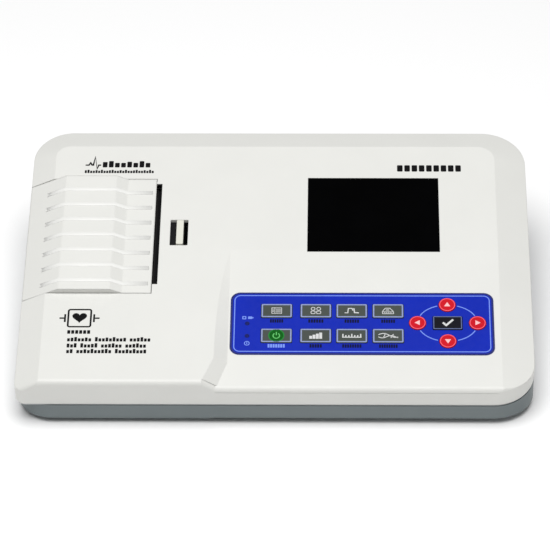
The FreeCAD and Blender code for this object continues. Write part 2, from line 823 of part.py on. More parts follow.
PLATEN = (D.platen_x.value, D.platen_z.value)
IDLER_X, IDLER_Z, PLATEN_MESH = gear_place(*PLATEN, D.platen_teeth, D.idler_teeth,
                                           -D.idler_left_of_platen.value)
PINION_X, PINION_Z, IDLER_MESH = gear_place(IDLER_X, IDLER_Z, D.idler_teeth, D.pinion_teeth,
                                            D.pinion_right_of_idler.value)
IDLER_STEP = 360 / D.idler_teeth.value
# The idler shows the platen a gap; the pinion's phase follows where the idler's teeth then stand.
IDLER_PHASE = PLATEN_MESH + 180 + IDLER_STEP / 2
IDLER_LEAD = (IDLER_PHASE - IDLER_MESH) % IDLER_STEP
PINION_PHASE = (IDLER_MESH + 180 + 180 / D.pinion_teeth.value
                - IDLER_LEAD * D.idler_teeth.value / D.pinion_teeth.value)


def gear(label, teeth, bore, x, z, phase):
    """A spur gear about the lid's Y direction, with straight-sided teeth and one tooth at the phase angle."""
    pitch = pitch_radius(teeth)
    root = pitch - 1.15 * D.gear_module
    crown = pitch + 0.8 * D.gear_module
    half_tooth = D.gear_module * math.pi * D.tooth_share / 2
    made = Piece(label)
    made.pad("XZ", 0, D.gear_width, circle(0, 0, root))
    made.pad("XZ", 0, D.gear_width, poly(
        (root - 0.4, -half_tooth * 1.55), (crown, -half_tooth * 0.55),
        (crown, half_tooth * 0.55), (root - 0.4, half_tooth * 1.55)))
    made.repeat_round("Y", int(teeth.value))
    made.cut("XZ", -1, D.gear_width + 2, circle(0, 0, bore))
    turned = Placement(Vector(x, D.gear_front.value, z), Rotation(Vector(0, 1, 0), -phase))
    made.at(LID.multiply(turned))


def build_platen():
    roller = Piece("platen_roller")
    long = D.slot_back - D.slot_front
    roller.pad("XZ", D.slot_front, long, circle(D.platen_x, D.platen_z, D.platen_radius))
    roller.cut("XZ", D.slot_front - 1, long + 2, circle(D.platen_x, D.platen_z, D.shaft_radius))
    roller.at(LID)

    shaft = Piece("platen_shaft")
    front = D.door_front + 0.2
    back = D.door_back - 0.2
    shaft.pad("XZ", front, back - front, circle(D.platen_x, D.platen_z, D.journal_radius))
    shoulder = D.cover_end_thick + 0.4
    shaft.pad("XZ", D.door_front + shoulder, D.door_back - D.door_front - shoulder * 2,
              circle(D.platen_x, D.platen_z, D.shaft_radius))
    shaft.at(LID)

    bushes = []
    for start in (D.door_front, D.door_back - D.cover_end_thick):
        bush = shared("bush")
        bush.pad("XZ", start, D.cover_end_thick, circle(D.platen_x, D.platen_z, D.bush_radius))
        bush.cut("XZ", start - 1, D.cover_end_thick + 2,
                 circle(D.platen_x, D.platen_z, D.journal_radius + D.running_gap))
        bushes.append(bush)
    group("platen_bushes", bushes, LID)

    gear("platen_gear", D.platen_teeth, D.shaft_radius, *PLATEN, PLATEN_MESH)
    gear("idler_gear", D.idler_teeth, D.idler_bore + D.running_gap, IDLER_X, IDLER_Z, IDLER_PHASE)
    gear("motor_pinion", D.pinion_teeth, D.motor_shaft_radius, PINION_X, PINION_Z, PINION_PHASE)


# ---------------------------------------------------------------- printer bay

D.bay_left = -152.4
D.bay_right = -68.0
D.bay_front = 69.7
D.bay_back = 170.4
D.bay_floor = -23.0
D.bay_top = 12.5
D.bay_wall = 1.5
D.roll_x = -118
D.roll_z = -0.5
D.roll_radius = 20
D.roll_front = 82.2
D.roll_back = 161.8
D.core_radius = 6.35
D.spindle_radius = 5.9
D.bracket_front = 80.2
D.bracket_thick = 1.2
D.bracket_left = -95.5
D.bracket_top = 3.8
D.motor_radius = 8.4
D.motor_long = 15
D.head_left = -77.1
D.head_thick = 1.2
D.sink_thick = 3.0
D.head_low = 2.0
D.head_high = 16.0


def build_printer_bay():
    bay = Piece("printer_chassis")
    depth = D.bay_back - D.bay_front
    bay.pad("XZ", D.bay_front, depth, poly(
        (D.bay_left, D.bay_floor), (D.bay_right, D.bay_floor), (D.bay_right, D.bay_top),
        (D.bay_left + 14.4, D.bay_top), (D.bay_left, 2.5)))
    bay.cut("XY", D.bay_floor + D.bay_wall, 60, rect(
        D.bay_left + D.bay_wall, D.bay_right - D.bay_wall, D.bay_front + D.bay_wall,
        D.bay_back - D.bay_wall))
    # Open-topped cradles for the spindle.
    cradle = D.spindle_radius + 0.1
    bay.cut("XZ", D.bay_front - 1, depth + 2, circle(D.roll_x, D.roll_z, cradle))
    bay.cut("XZ", D.bay_front - 1, depth + 2, rect(
        D.roll_x - cradle, D.roll_x + cradle, D.roll_z, D.bay_top + 5))
    bay.at(LID)

    roll = Piece("paper_roll")
    width = D.roll_back - D.roll_front
    roll.pad("XZ", D.roll_front, width, circle(D.roll_x, D.roll_z, D.roll_radius))
    roll.cut("XZ", D.roll_front - 1, width + 2, circle(D.roll_x, D.roll_z, D.core_radius))
    roll.at(LID)

    spindle = Piece("paper_spindle")
    spindle.pad("XZ", D.bay_front + 0.1, depth - 0.2, circle(D.roll_x, D.roll_z, D.spindle_radius))
    spindle.cut("XZ", D.bay_front, depth, circle(D.roll_x, D.roll_z, D.spindle_radius - 1.6))
    spindle.at(LID)

    bracket = Piece("drive_bracket")
    bracket_right = D.bay_right - D.bay_wall - 0.1
    bracket_low = D.bay_floor + D.bay_wall
    # Its right shoulder stays below the print head.
    bracket.pad("XZ", D.bracket_front, D.bracket_thick, poly(
        (D.bracket_left, bracket_low), (bracket_right, bracket_low), (bracket_right, D.head_low - 1.6),
        (D.head_left - 0.9, D.head_low - 1.6), (D.head_left - 2.9, D.bracket_top),
        (D.bracket_left, D.bracket_top)))
    bracket.cut("XZ", D.bracket_front - 1, D.bracket_thick + 2, circle(PINION_X, PINION_Z, 3.0))
    bracket.cut("XZ", D.bracket_front - 1, D.bracket_thick + 2, circle(IDLER_X, IDLER_Z, 1.2))
    bracket.at(LID)

    axle = Piece("idler_axle")
    axle.pad("XZ", D.gear_front - 0.9, D.bracket_front - D.gear_front + 0.9,
             circle(IDLER_X, IDLER_Z, D.idler_bore))
    axle.pad("XZ", D.gear_front - 1.4, 0.8, circle(IDLER_X, IDLER_Z, D.idler_bore + 1))
    axle.pad("XZ", D.bracket_front - 0.5, D.bracket_thick + 0.9, circle(IDLER_X, IDLER_Z, 1.2))
    axle.at(LID)

    motor = Piece("stepper_motor")
    motor_front = D.bracket_front + D.bracket_thick
    motor.pad("XZ", motor_front, D.motor_long, circle(PINION_X, PINION_Z, D.motor_radius))
    motor.pad("XZ", motor_front - D.bracket_thick + 0.1, 2, circle(PINION_X, PINION_Z, 2.95))
    motor.at(LID)


def build_print_head():
    head = Piece("print_head")
    head.pad("XZ", D.slot_front - 0.2, D.slot_back - D.slot_front + 0.4, rect(
        D.head_left, D.head_left + D.head_thick, D.head_low, D.head_high))
    # The glaze bump that carries the heater line.
    head.pad("XZ", D.slot_front + 0.4, D.slot_back - D.slot_front - 0.8, rect(
        D.head_left - 0.08, D.head_left + 0.5, D.platen_z - 0.8, D.platen_z + 0.8))
    head.at(LID)

    sink = Piece("head_heatsink")
    sink_left = D.head_left + D.head_thick
    sink.pad("XZ", D.slot_front - 0.2, D.slot_back - D.slot_front + 0.4, rect(
        sink_left, sink_left + D.sink_thick, D.head_low - 1, D.head_high - 0.6))
    sink.cut("XZ", D.slot_front - 1, D.slot_back - D.slot_front + 2, rect(
        sink_left + 1.4, sink_left + D.sink_thick + 1, 5.0, 6.6))
    sink.cut("XZ", D.slot_front - 1, D.slot_back - D.slot_front + 2, rect(
        sink_left + 1.4, sink_left + D.sink_thick + 1, 10.0, 11.6))
    sink.at(LID)

    springs = []
    near = sink_left + D.sink_thick
    far = D.bay_right - D.bay_wall
    for start in (92, 144):
        leaf = shared("leaf")
        leaf.pad("XZ", start, 7, poly(
            (far, 2.6), (far - 0.5, 2.6), (near, 8.3), (near, 8.9), (far - 0.5, 12.3), (far, 12.3),
            (far - 0.1, 11.9), (near + 0.5, 8.6), (far - 0.1, 3.0)))
        springs.append(leaf)
    group("head_springs", springs, LID)

    # The bar lines the slot's right side, and its turned-in ends close the slot's corners.
    bar = Piece("tear_bar")
    long = D.slot_back - D.slot_front
    bar.pad("YZ", D.slot_right - 0.8, 0.8, rect(D.mouth_front, D.mouth_back, 17.7, D.lid_top - 0.3))
    for start in (D.mouth_front, D.mouth_back - 1.2):
        bar.pad("XZ", start, 1.2, rect(
            D.door_right + D.door_gap, D.slot_right - 0.4, 17.7, D.lid_top - 0.3))
    bar.cut("YZ", D.slot_right - 2, 3, poly(
        (D.slot_front + 0.6, D.lid_top + 0.2), (D.slot_front + 1.5, D.lid_top - 1.3),
        (D.slot_front + 2.4, D.lid_top + 0.2)))
    bar.repeat("Y", long - 3.0, 34)
    bar.at(LID)


# ---------------------------------------------------------------- cover latch

D.fin_left = -63.2
D.fin_right = -58.9
D.fin_top = 20.6
D.latch_low = 13.8
D.latch_high = 16.0
D.latch_travel = 2.0
D.spine_left = -66.5
D.spine_right = -62.0


def build_latch():
    slider = Piece("latch_slider")
    tall = D.latch_high - D.latch_low
    slider.pad("XY", D.latch_low, tall, rect(D.spine_left, D.spine_right, 72.3, 167.8))
    for start in (D.door_front + 0.4, D.door_back - 2.6):
        slider.pad("XY", D.latch_low, tall, rect(-79.8, D.spine_left + 1, start, start + 2.2))
    slider.pad("XY", D.latch_low, tall, rect(
        D.spine_right - 1, D.fin_right, D.window_front + 0.7, D.window_back - 0.7))
    slider.pad("XY", D.latch_high - 0.5, D.fin_top - D.latch_high + 0.5, rect(
        D.fin_left, D.fin_right, D.window_front + 0.7, D.window_back - 0.7, 0.8))
    slider.at(LID)

    guide = Piece("latch_guide")
    guide.pad("XY", 16.4, 1.0, rect(-67.7, -54.5, 104.5, 140.5))
    guide.cut("XY", 16, 2, rect(
        D.fin_left - 0.4, D.fin_right + D.latch_travel + 0.5, D.window_front + 0.3, D.window_back - 0.3))
    for start in (104.5, 139.0):
        guide.pad("XZ", start, 1.5, rect(-67.7, -54.5, 11.0, 16.5))
        guide.cut("XZ", start - 1, 3.5, rect(
            D.spine_left - 0.4, D.spine_right + D.latch_travel + 0.4, D.latch_low - 0.3, 16.4))
    guide.pad("XY", 12.6, 4.2, rect(-56.2, -54.5, 104.6, 111.0))
    guide.at(LID)

    spring = Piece("latch_spring")
    near = D.spine_right
    spring.pad("XY", 14.0, 1.8, poly(
        (near, 106.6), (near + 0.3, 106.6), (near + 3.3, 110.6), (near + 3.3, 111.0), (near + 3.0, 111.0),
        (near, 107.2)))
    spring.at(LID)


# ---------------------------------------------------------------- display

def build_display():
    glass = Piece("screen_window")
    gap = 0.1
    glass.pad("XY", D.lid_top - D.screen_depth, D.screen_depth - 0.05, rect(
        D.screen_left + gap, D.screen_right - gap, D.screen_front + gap, D.screen_back - gap))
    glass.at(LID)

    module = Piece("lcd_module")
    module.pad("XY", 12.2, 5.1, rect(
        D.screen_left - 3, D.screen_right + 3, D.screen_front + 1, D.screen_back + 2.5))
    module.cut("XY", 16.9, 1, rect(
        D.screen_left + 5, D.screen_right - 5, D.screen_front + 5, D.screen_back - 5))
    module.at(LID)


# ---------------------------------------------------------------- keypad

D.key_width = 19.0
D.key_height = 10.6
D.key_round = 0.8
D.key_row_back = -48.4
D.key_row_front = -67.5
D.set_width = 18.0
D.set_height = 10.3
D.nav_x = 105.0
D.nav_y = -57.4
D.nav_across = 18.3
D.nav_along = 13.95
D.nav_radius = 5.2
D.key_gap = 0.25
D.key_top = 0.7
D.key_flange = 1.0
D.key_travel = 0.6
D.key_stem_radius = 2.0
D.dome_height = 0.6
D.dome_radius = 3.0
D.lamp_x = -17.4
D.lamp_back = -58.0
D.lamp_front = -67.5
D.lamp_radius = 1.4
D.key_board_top = -4.5
D.board_thick = 1.6

KEY_COLUMNS = (0.5, 24.5, 46.5, 68.7)
KEY_ROWS = (("back", D.key_row_back), ("front", D.key_row_front))


def key_list():
    """Every key as (name, centre x, centre y, half width, half height or None when round)."""
    keys = []
    for row, y in KEY_ROWS:
        for number, x in enumerate(KEY_COLUMNS, 1):
            keys.append((f"key_{row}_{number}", x, y, D.key_width / 2, D.key_height / 2))
    keys.append(("key_set", D.nav_x, D.nav_y, D.set_width / 2, D.set_height / 2))
    for name, across, along in (("up", 0, 1), ("down", 0, -1), ("left", -1, 0), ("right", 1, 0)):
        keys.append((f"key_{name}", D.nav_x + D.nav_across * across, D.nav_y + D.nav_along * along,
                     D.nav_radius, None))
    return keys


def key_profile(x, y, half_wide, half_high, grow):
    if half_high is None:
        return circle(x, y, half_wide + grow)
    return rect(x - half_wide - grow, x + half_wide + grow, y - half_high - grow, y + half_high + grow,
                D.key_round + grow)


def build_keypad():
    overlay = Piece("keypad_overlay")
    thick = D.pad_sunk + D.pad_proud
    overlay.pad("XY", -D.pad_sunk, thick, rect(
        D.pad_left, D.pad_right, D.pad_front, D.pad_back, D.pad_corner))
    holes = [key_profile(x, y, wide, high, D.key_gap) for _, x, y, wide, high in key_list()]
    holes += [circle(D.lamp_x, y, D.lamp_radius + D.running_gap) for y in (D.lamp_back, D.lamp_front)]
    overlay.cut("XY", -D.pad_sunk - 1, thick + 2, *holes)
    overlay.at(KEYS)

    domes = []
    for name, x, y, wide, high in key_list():
        key = Piece(name)
        flange_top = -D.pad_sunk - 0.1
        key.pad("XY", flange_top - 0.5, D.key_top - flange_top + 0.5, key_profile(x, y, wide, high, 0))
        key.round(0.3, lambda edge: edge.BoundBox.ZMin > D.key_top.value - 0.01)
        key.pad("XY", flange_top - 0.9, 0.9, key_profile(x, y, wide, high, D.key_flange))
        stem_low = D.key_board_top + D.dome_height + D.key_travel + 0.1
        key.pad("XY", stem_low, flange_top - 0.5 - stem_low, circle(x, y, D.key_stem_radius))
        key.at(KEYS)
        dome = shared("dome")
        dome.pad("XY", D.key_board_top, D.dome_height, circle(x, y, D.dome_radius))
        dome.round(D.dome_height - 0.15, lambda edge: edge.BoundBox.ZMin > D.key_board_top.value + 0.5)
        domes.append(dome)
    group("key_domes", domes, KEYS)

    board = Piece("key_board")
    board.pad("XY", D.key_board_top - D.board_thick, D.board_thick, rect(-21.5, 129.5, -77.5, -38.0, 1))
    board.at(KEYS)

    lamps = []
    for y in (D.lamp_back, D.lamp_front):
        lamp = shared("lamp")
        lamp.pad("XY", D.key_board_top, D.pad_proud + 0.1 - D.key_board_top,
                 circle(D.lamp_x, y, D.lamp_radius))
        lamps.append(lamp)
    group("indicator_lenses", lamps, KEYS)


# ---------------------------------------------------------------- boards and battery

D.main_board_low = -6.0
D.power_board_low = -27.0
D.battery_height = 18.5
D.battery_long = 70

def build_electronics():
    board = Piece("main_board")
    board.pad("XY", D.main_board_low, D.board_thick, rect(-50, 112, 112, 200, 2))
    # Chips and sockets, as (left, front, width, length, height).
    for x, y, wide, long, tall in ((10, 150, 24, 24, 2.2), (60, 140, 14, 20, 1.8), (88, 170, 18, 12, 2.6),
                                   (-20, 130, 12, 12, 3.0), (-25, 180, 30, 8, 6.0)):
        board.pad("XY", D.main_board_low + D.board_thick - 0.1, tall + 0.1, rect(x, x + wide, y, y + long))
    board.at(LID)

    supply = Piece("power_board")
    supply.pad("XY", D.power_board_low, D.board_thick, rect(58, 132, 142, 170, 1))
    # Transformer, terminal block and capacitor.
    parts_low = D.power_board_low + D.board_thick - 0.1
    supply.pad("XY", parts_low, 13.1, rect(80, 108, 145, 167, 1))
    supply.pad("XY", parts_low, 9.1, rect(64, 74, 145, 167, 1))
    supply.pad("XY", parts_low, 6.1, circle(120, 156, 6))
    supply.at(LID)

    pack = Piece("battery_pack")
    pack_front = front_y + D.battery_door_front + 5
    pack.pad("XY", base_inner_floor + 0.1, D.battery_height, rect(
        D.battery_door_left + 6, D.battery_door_right - 6, pack_front, pack_front + D.battery_long, 4))
    pack.at(WORLD)

    hatch = Piece("battery_door")
    front = front_y + D.battery_door_front
    back = front_y + D.battery_door_back
    step = D.wall / 2
    hatch.pad("XY", D.base_floor, step - 0.05, rect(
        D.battery_door_left + 0.3, D.battery_door_right - 0.3, front + 0.3, back - 0.3, 2.7))
    hatch.pad("XY", D.base_floor + step - 0.2, step, rect(
        D.battery_door_left + 4.3, D.battery_door_right - 4.3, front + 4.3, back - 4.3, 1.7))
    # Finger scallop lines.
    hatch.cut("XY", D.base_floor - 1, 1.6, rect(-15, 15, back - 12, back - 10.8, 0.5))
    hatch.repeat("Y", 4.8, 3)
    hatch.at(WORLD)


# ---------------------------------------------------------------- back panel pieces

D.inlet_flange_width = 50
D.inlet_flange_height = 23
D.inlet_flange_thick = 2.6
D.inlet_depth = 16
D.pin_recess = 5.2
D.pin_tail = 5
D.rocker_tilt = 8


def build_back_panel_pieces():
    inlet = Piece("mains_inlet")
    inlet.pad("XZ", panel_back_y, D.inlet_flange_thick, rect(
        D.inlet_x - D.inlet_flange_width / 2, D.inlet_x + D.inlet_flange_width / 2,
        D.inlet_z - D.inlet_flange_height / 2, D.inlet_z + D.inlet_flange_height / 2, 3))
    inlet.pad("XZ", panel_back_y - D.inlet_depth, D.inlet_depth + 1, rect(
        D.inlet_x - 13.7, D.inlet_x + 13.7, D.inlet_z - 10.1, D.inlet_z + 10.1, 1))
    inlet.cut("XZ", panel_back_y - D.inlet_depth + 2, D.inlet_depth + 3, rect(
        D.inlet_x - 12, D.inlet_x + 12, D.inlet_z - 8, D.inlet_z + 8, (5, 5, 1, 1)))
    for side in (-1, 1):
        inlet.cut("XZ", panel_back_y - 1, 5, circle(
            D.inlet_x + side * D.inlet_screw_pitch / 2, D.inlet_z, D.inlet_screw_radius + D.running_gap))
    blades = ((-7, -2), (7, -2), (0, 2))
    for across, up in blades:
        inlet.cut("XZ", panel_back_y - D.inlet_depth - 1, 4, rect(
            D.inlet_x + across - 1, D.inlet_x + across + 1, D.inlet_z + up - 2, D.inlet_z + up + 2))
    inlet.at(WORLD)

    pins = []
    for across, up in blades:
        pin = shared("blade")
        tail = panel_back_y - D.inlet_depth - D.pin_tail
        tip = panel_back_y + D.inlet_flange_thick - D.pin_recess
        pin.pad("XZ", tail, tip - tail, rect(
            D.inlet_x + across - 1, D.inlet_x + across + 1, D.inlet_z + up - 2, D.inlet_z + up + 2))
        pins.append(pin)
    group("inlet_pins", pins, WORLD)

    screws = []
    face = panel_back_y + D.inlet_flange_thick
    for side in (-1, 1):
        centre = D.inlet_x + side * D.inlet_screw_pitch / 2
        screw = shared("inlet_screw")
        screw.pad("XZ", panel_back_y - 6, D.inlet_flange_thick + 6.5, circle(
            centre, D.inlet_z, D.inlet_screw_radius))
        screw.pad("XZ", face, 1.6, circle(centre, D.inlet_z, 2.7))
        for half_wide, half_high in ((1.9, 0.35), (0.35, 1.9)):
            screw.cut("XZ", face + 0.8, 1, rect(
                centre - half_wide, centre + half_wide, D.inlet_z - half_high, D.inlet_z + half_high))
        screws.append(screw)
    group("inlet_screws", screws, WORLD)

    housing = Piece("rocker_housing")
    housing.pad("XZ", panel_back_y, 1.8, rect(
        D.switch_x - 10.5, D.switch_x + 10.5, D.inlet_z - 7.5, D.inlet_z + 7.5, 1.5))
    housing.pad("XZ", panel_back_y - 14, 15, rect(
        D.switch_x - 9.6, D.switch_x + 9.6, D.inlet_z - 6.5, D.inlet_z + 6.5))
    housing.cut("XZ", panel_back_y - 5, 10, rect(
        D.switch_x - 8.4, D.switch_x + 8.4, D.inlet_z - 5.2, D.inlet_z + 5.2))
    housing.cut("XY", D.inlet_z - 6.0, 12, circle(D.switch_x, panel_back_y + 0.2, 0.85))
    housing.at(WORLD)

    rocker = Piece("power_rocker")
    rocker.pad("XY", -4.9, 9.8, poly(
        (-7.8, 3.6), (0, 2.4), (7.8, 3.6), (7.8, -0.6), (3.0, -2.8), (-3.0, -2.8), (-7.8, -0.6)))
    rocker.pad("XY", -5.9, 11.8, circle(0, 0, 0.8))
    rocker.at(Placement(Vector(D.switch_x.value, panel_back_y.value + 0.2, D.inlet_z.value),
                        Rotation(Vector(0, 0, 1), D.rocker_tilt.value)))

    caps = []
    for height in (D.fuse_low, D.fuse_high):
        cap = shared("cap")
        cap.pad("XZ", panel_back_y, 1.6, circle(D.fuse_x, height, 6.8))
        cap.pad("XZ", panel_back_y + 1, 4.6, circle(D.fuse_x, height, 5.6))
        cap.pad("XZ", panel_back_y - 20, 21, circle(D.fuse_x, height, 5.9))
        cap.cut("XZ", panel_back_y + 4.4, 3, rect(
            D.fuse_x - 4.2, D.fuse_x + 4.2, height - 0.6, height + 0.6))
        caps.append(cap)
    group("fuse_caps", caps, WORLD)

    post = Piece("ground_post")
    post.pad("XZ", panel_back_y, 2, circle(D.post_x, D.inlet_z, 5))
    post.pad("XZ", panel_back_y + 1, 7.8, circle(D.post_x, D.inlet_z, 3))
    post.pad("XZ", panel_back_y - 8, 9, circle(D.post_x, D.inlet_z, D.post_stem_radius))
    post.at(WORLD)


# ---------------------------------------------------------------- side panel pieces

def build_side_panel_pieces():
    port_y = front_y + D.port_y
    shell = Piece("patient_port_shell")
    shell.pad("YZ", panel_side_x, 1.0, rect(
        port_y - D.port_flange_half, port_y + D.port_flange_half,
        D.port_z - D.port_flange_height / 2, D.port_z + D.port_flange_height / 2, 1.5))
    shell.pad("YZ", panel_side_x - 3.5, 9.8, poly(
        (port_y - 11.3, D.port_z - 4.2), (port_y + 11.3, D.port_z - 4.2),
        (port_y + 12.5, D.port_z + 4.2), (port_y - 12.5, D.port_z + 4.2)))
    shell.cut("YZ", panel_side_x - 5, 12, poly(
        (port_y - 10.9, D.port_z - 3.8), (port_y + 10.9, D.port_z - 3.8),
        (port_y + 12.05, D.port_z + 3.8), (port_y - 12.05, D.port_z + 3.8)))
    for side in (-1, 1):
        shell.cut("YZ", panel_side_x - 1, 3, circle(port_y + side * D.jackscrew_pitch / 2, D.port_z, 1.5))
    shell.at(WORLD)

    insert = Piece("patient_port_insert")
    insert.pad("YZ", panel_side_x - 8, 14.0, poly(
        (port_y - 10.8, D.port_z - 3.7), (port_y + 10.8, D.port_z - 3.7),
        (port_y + 11.95, D.port_z + 3.7), (port_y - 11.95, D.port_z + 3.7)))
    contact_pitch = 2.77
    contacts = [circle(port_y + (i - 3.5) * contact_pitch, D.port_z + 1.42, 0.5) for i in range(8)]
    contacts += [circle(port_y + (i - 3) * contact_pitch, D.port_z - 1.42, 0.5) for i in range(7)]
    insert.cut("YZ", panel_side_x + 2, 6, *contacts)
    insert.at(WORLD)

    screws = []
    for side in (-1, 1):
        centre = port_y + side * D.jackscrew_pitch / 2
        screw = shared("jackscrew")
        hexagon = [(centre + 2.75 * math.cos(math.radians(60 * k)),
                    D.port_z + 2.75 * math.sin(math.radians(60 * k))) for k in range(6)]
        screw.pad("YZ", panel_side_x + 1, 5, poly(*hexagon))
        screw.pad("YZ", panel_side_x - 5, 6.5, circle(centre, D.port_z, 1.42))
        screw.cut("YZ", panel_side_x + 2, 5, circle(centre, D.port_z, 1.42))
        screws.append(screw)
    group("jackscrews", screws, WORLD)

    usb_y = port_y + D.usb_offset
    usb = Piece("usb_port")
    usb.pad("YZ", panel_side_x - 12, 12.8, rect(
        usb_y - D.usb_width / 2, usb_y + D.usb_width / 2,
        D.port_z - D.usb_height / 2, D.port_z + D.usb_height / 2))
    usb.cut("YZ", panel_side_x - 11, 13, rect(
        usb_y - D.usb_width / 2 + 0.4, usb_y + D.usb_width / 2 - 0.4,
        D.port_z - D.usb_height / 2 + 0.4, D.port_z + D.usb_height / 2 - 0.4))
    usb.pad("YZ", panel_side_x - 11.5, 11.0, rect(usb_y - 5.6, usb_y + 5.6, D.port_z + 0.2, D.port_z + 2.0))
    usb.at(WORLD)


# ---------------------------------------------------------------- feet and screws

D.foot_radius = 7
# Feet, as (x, distance behind the front seam, height of the floor above them).
FEET = ((-100, 24, D.skid_height), (-100, 188, D.skid_height),
        (100, 24, D.base_floor), (100, 188, D.base_floor))


def build_feet_and_screws():
    feet = []
    for x, along, top in FEET:
        foot = shared("foot")
        foot.pad("XY", 0, top, circle(x, front_y + along, D.foot_radius))
        foot.round(0.6, lambda edge: edge.BoundBox.ZMax < 0.01)
        feet.append(foot)
    group("rubber_feet", feet, WORLD)

    screws = []
    for x, along in CASE_SCREWS:
        y = front_y + along * tilt_cosine
        head = seam_height(along * tilt_cosine) - D.gasket_thick - 1 - D.boss_head_drop
        screw = shared("screw")
        screw.pad("XY", head - 2.2, 2.2, circle(x, y, 2.9))
        screw.pad("XY", head - 1, 18, circle(x, y, 1.25))
        screw.cut("XY", head - 3, 2, rect(x - 2.0, x + 2.0, y - 0.35, y + 0.35))
        screws.append(screw)
    group("case_screws", screws, WORLD)


# ---------------------------------------------------------------- build, check and write

build_bottom_case()
build_seam_gasket()
build_top_case()
build_paper_cover()
build_platen()
build_printer_bay()
build_print_head()
build_latch()
build_display()
build_keypad()
build_electronics()
build_back_panel_pieces()
build_side_panel_pieces()
build_feet_and_screws()

doc.recompute()
for item in doc.Objects:
    if "Invalid" in item.State or "Error" in item.State:
        raise RuntimeError(f"{item.Label} failed: {item.State}")
for piece in PIECES:
    if piece.Shape.isNull() or not piece.Shape.isValid() or not piece.Shape.Solids:
        raise RuntimeError(f"{piece.Label} has no valid solid")
os.makedirs("parts", exist_ok=True)
for piece in PIECES:
    piece.Shape.exportStep(f"parts/{piece.Label}.step")
whole = FreeCAD.BoundBox()
for piece in PIECES:
    whole.add(piece.Shape.BoundBox)
print(len(PIECES), "sub-parts,", "box", whole)
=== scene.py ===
import json
import math

import bmesh
import bpy
from mathutils import Matrix, Vector


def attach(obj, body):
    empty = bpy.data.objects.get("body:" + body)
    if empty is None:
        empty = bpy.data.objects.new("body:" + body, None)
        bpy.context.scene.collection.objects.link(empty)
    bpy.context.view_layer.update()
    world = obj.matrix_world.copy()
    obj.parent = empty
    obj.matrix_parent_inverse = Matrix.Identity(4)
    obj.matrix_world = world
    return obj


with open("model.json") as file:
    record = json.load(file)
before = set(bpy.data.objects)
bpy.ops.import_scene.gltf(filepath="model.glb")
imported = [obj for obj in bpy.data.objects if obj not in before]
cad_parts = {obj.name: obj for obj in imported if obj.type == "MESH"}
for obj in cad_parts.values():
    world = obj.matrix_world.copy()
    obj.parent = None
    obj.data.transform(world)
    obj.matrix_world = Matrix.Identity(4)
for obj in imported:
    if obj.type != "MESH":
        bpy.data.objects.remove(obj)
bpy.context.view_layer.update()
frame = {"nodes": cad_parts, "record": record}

# The looks of a desk-top ECG recorder. Lengths are in millimetres, and become metres where meshes,
# curves and textures are made. The camera, the floor and the light are in metres.
MM = 0.001

# ---------------------------------------------------------------- frames

# The lid's frame has X as the world's, Y up the sloping lid from the front seam and Z out of it.
SEAM_RUN, SEAM_RISE, SEAM_FRONT_HEIGHT = 212, 45, 15
LID_TOP, FRONT_ROUND = 20, 3
FACET_RUN, FACET_DROP = 108, 6.3

tilt = math.atan2(SEAM_RISE, SEAM_RUN)
front_lean = (LID_TOP - FRONT_ROUND) * math.sin(tilt)
front_y = (front_lean - SEAM_RUN) / 2
back_y = front_y + SEAM_RUN


def frame_at(x, y, z, turn_x):
    return Matrix.Translation((x * MM, y * MM, z * MM)) @ Matrix.Rotation(turn_x, 4, "X")


LID = frame_at(0, front_y, SEAM_FRONT_HEIGHT, tilt)
# The key frame starts at the crease between the lid's flat and the steeper key facet.
KEYS = LID @ frame_at(0, FACET_RUN, LID_TOP, math.atan2(FACET_DROP, FACET_RUN))


def add_object(name, data):
    made = bpy.data.objects.new(name, data)
    bpy.context.scene.collection.objects.link(made)
    return made


def add_piece(name, shape, placement, material, body):
    """Makes a piece of one material from a bmesh and lets it ride on a body."""
    mesh = bpy.data.meshes.new(name)
    shape.to_mesh(mesh)
    shape.free()
    mesh.transform(placement)
    mesh.materials.append(material)
    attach(add_object(name, mesh), body)


# ---------------------------------------------------------------- camera

CAMERA_PLACE = (0.03944, -1.60444, 1.21604)
CAMERA_DOWN, CAMERA_TURN, CAMERA_ROLL = (math.radians(angle) for angle in (36.337, -1.4636, -0.7449))
CAMERA_LENS, CAMERA_SENSOR, CAMERA_SEES_TO = 207.81, 36, 20


def add_camera():
    ahead = Vector((math.sin(CAMERA_TURN) * math.cos(CAMERA_DOWN),
                    math.cos(CAMERA_TURN) * math.cos(CAMERA_DOWN), -math.sin(CAMERA_DOWN)))
    level = Vector((math.cos(CAMERA_TURN), -math.sin(CAMERA_TURN), 0))
    upright = level.cross(ahead)
    right = level * math.cos(CAMERA_ROLL) + upright * math.sin(CAMERA_ROLL)
    up = upright * math.cos(CAMERA_ROLL) - level * math.sin(CAMERA_ROLL)
    data = bpy.data.cameras.new("camera")
    data.lens = CAMERA_LENS
    data.sensor_width = CAMERA_SENSOR
    data.clip_end = CAMERA_SEES_TO
    camera = add_object("camera", data)
    turn = Matrix((right, up, -ahead)).transposed().to_4x4()
    camera.matrix_world = Matrix.Translation(CAMERA_PLACE) @ turn
    bpy.context.scene.camera = camera


# ---------------------------------------------------------------- materials

# Most of a noise texture's values lie between these two.
NOISE_LOW, NOISE_HIGH = 0.3, 0.7
# A mix node numbers its sockets, because its colour inputs and output share their names with others.
MIX_COLOUR_A, MIX_COLOUR_B, MIX_COLOUR_RESULT = 6, 7, 2


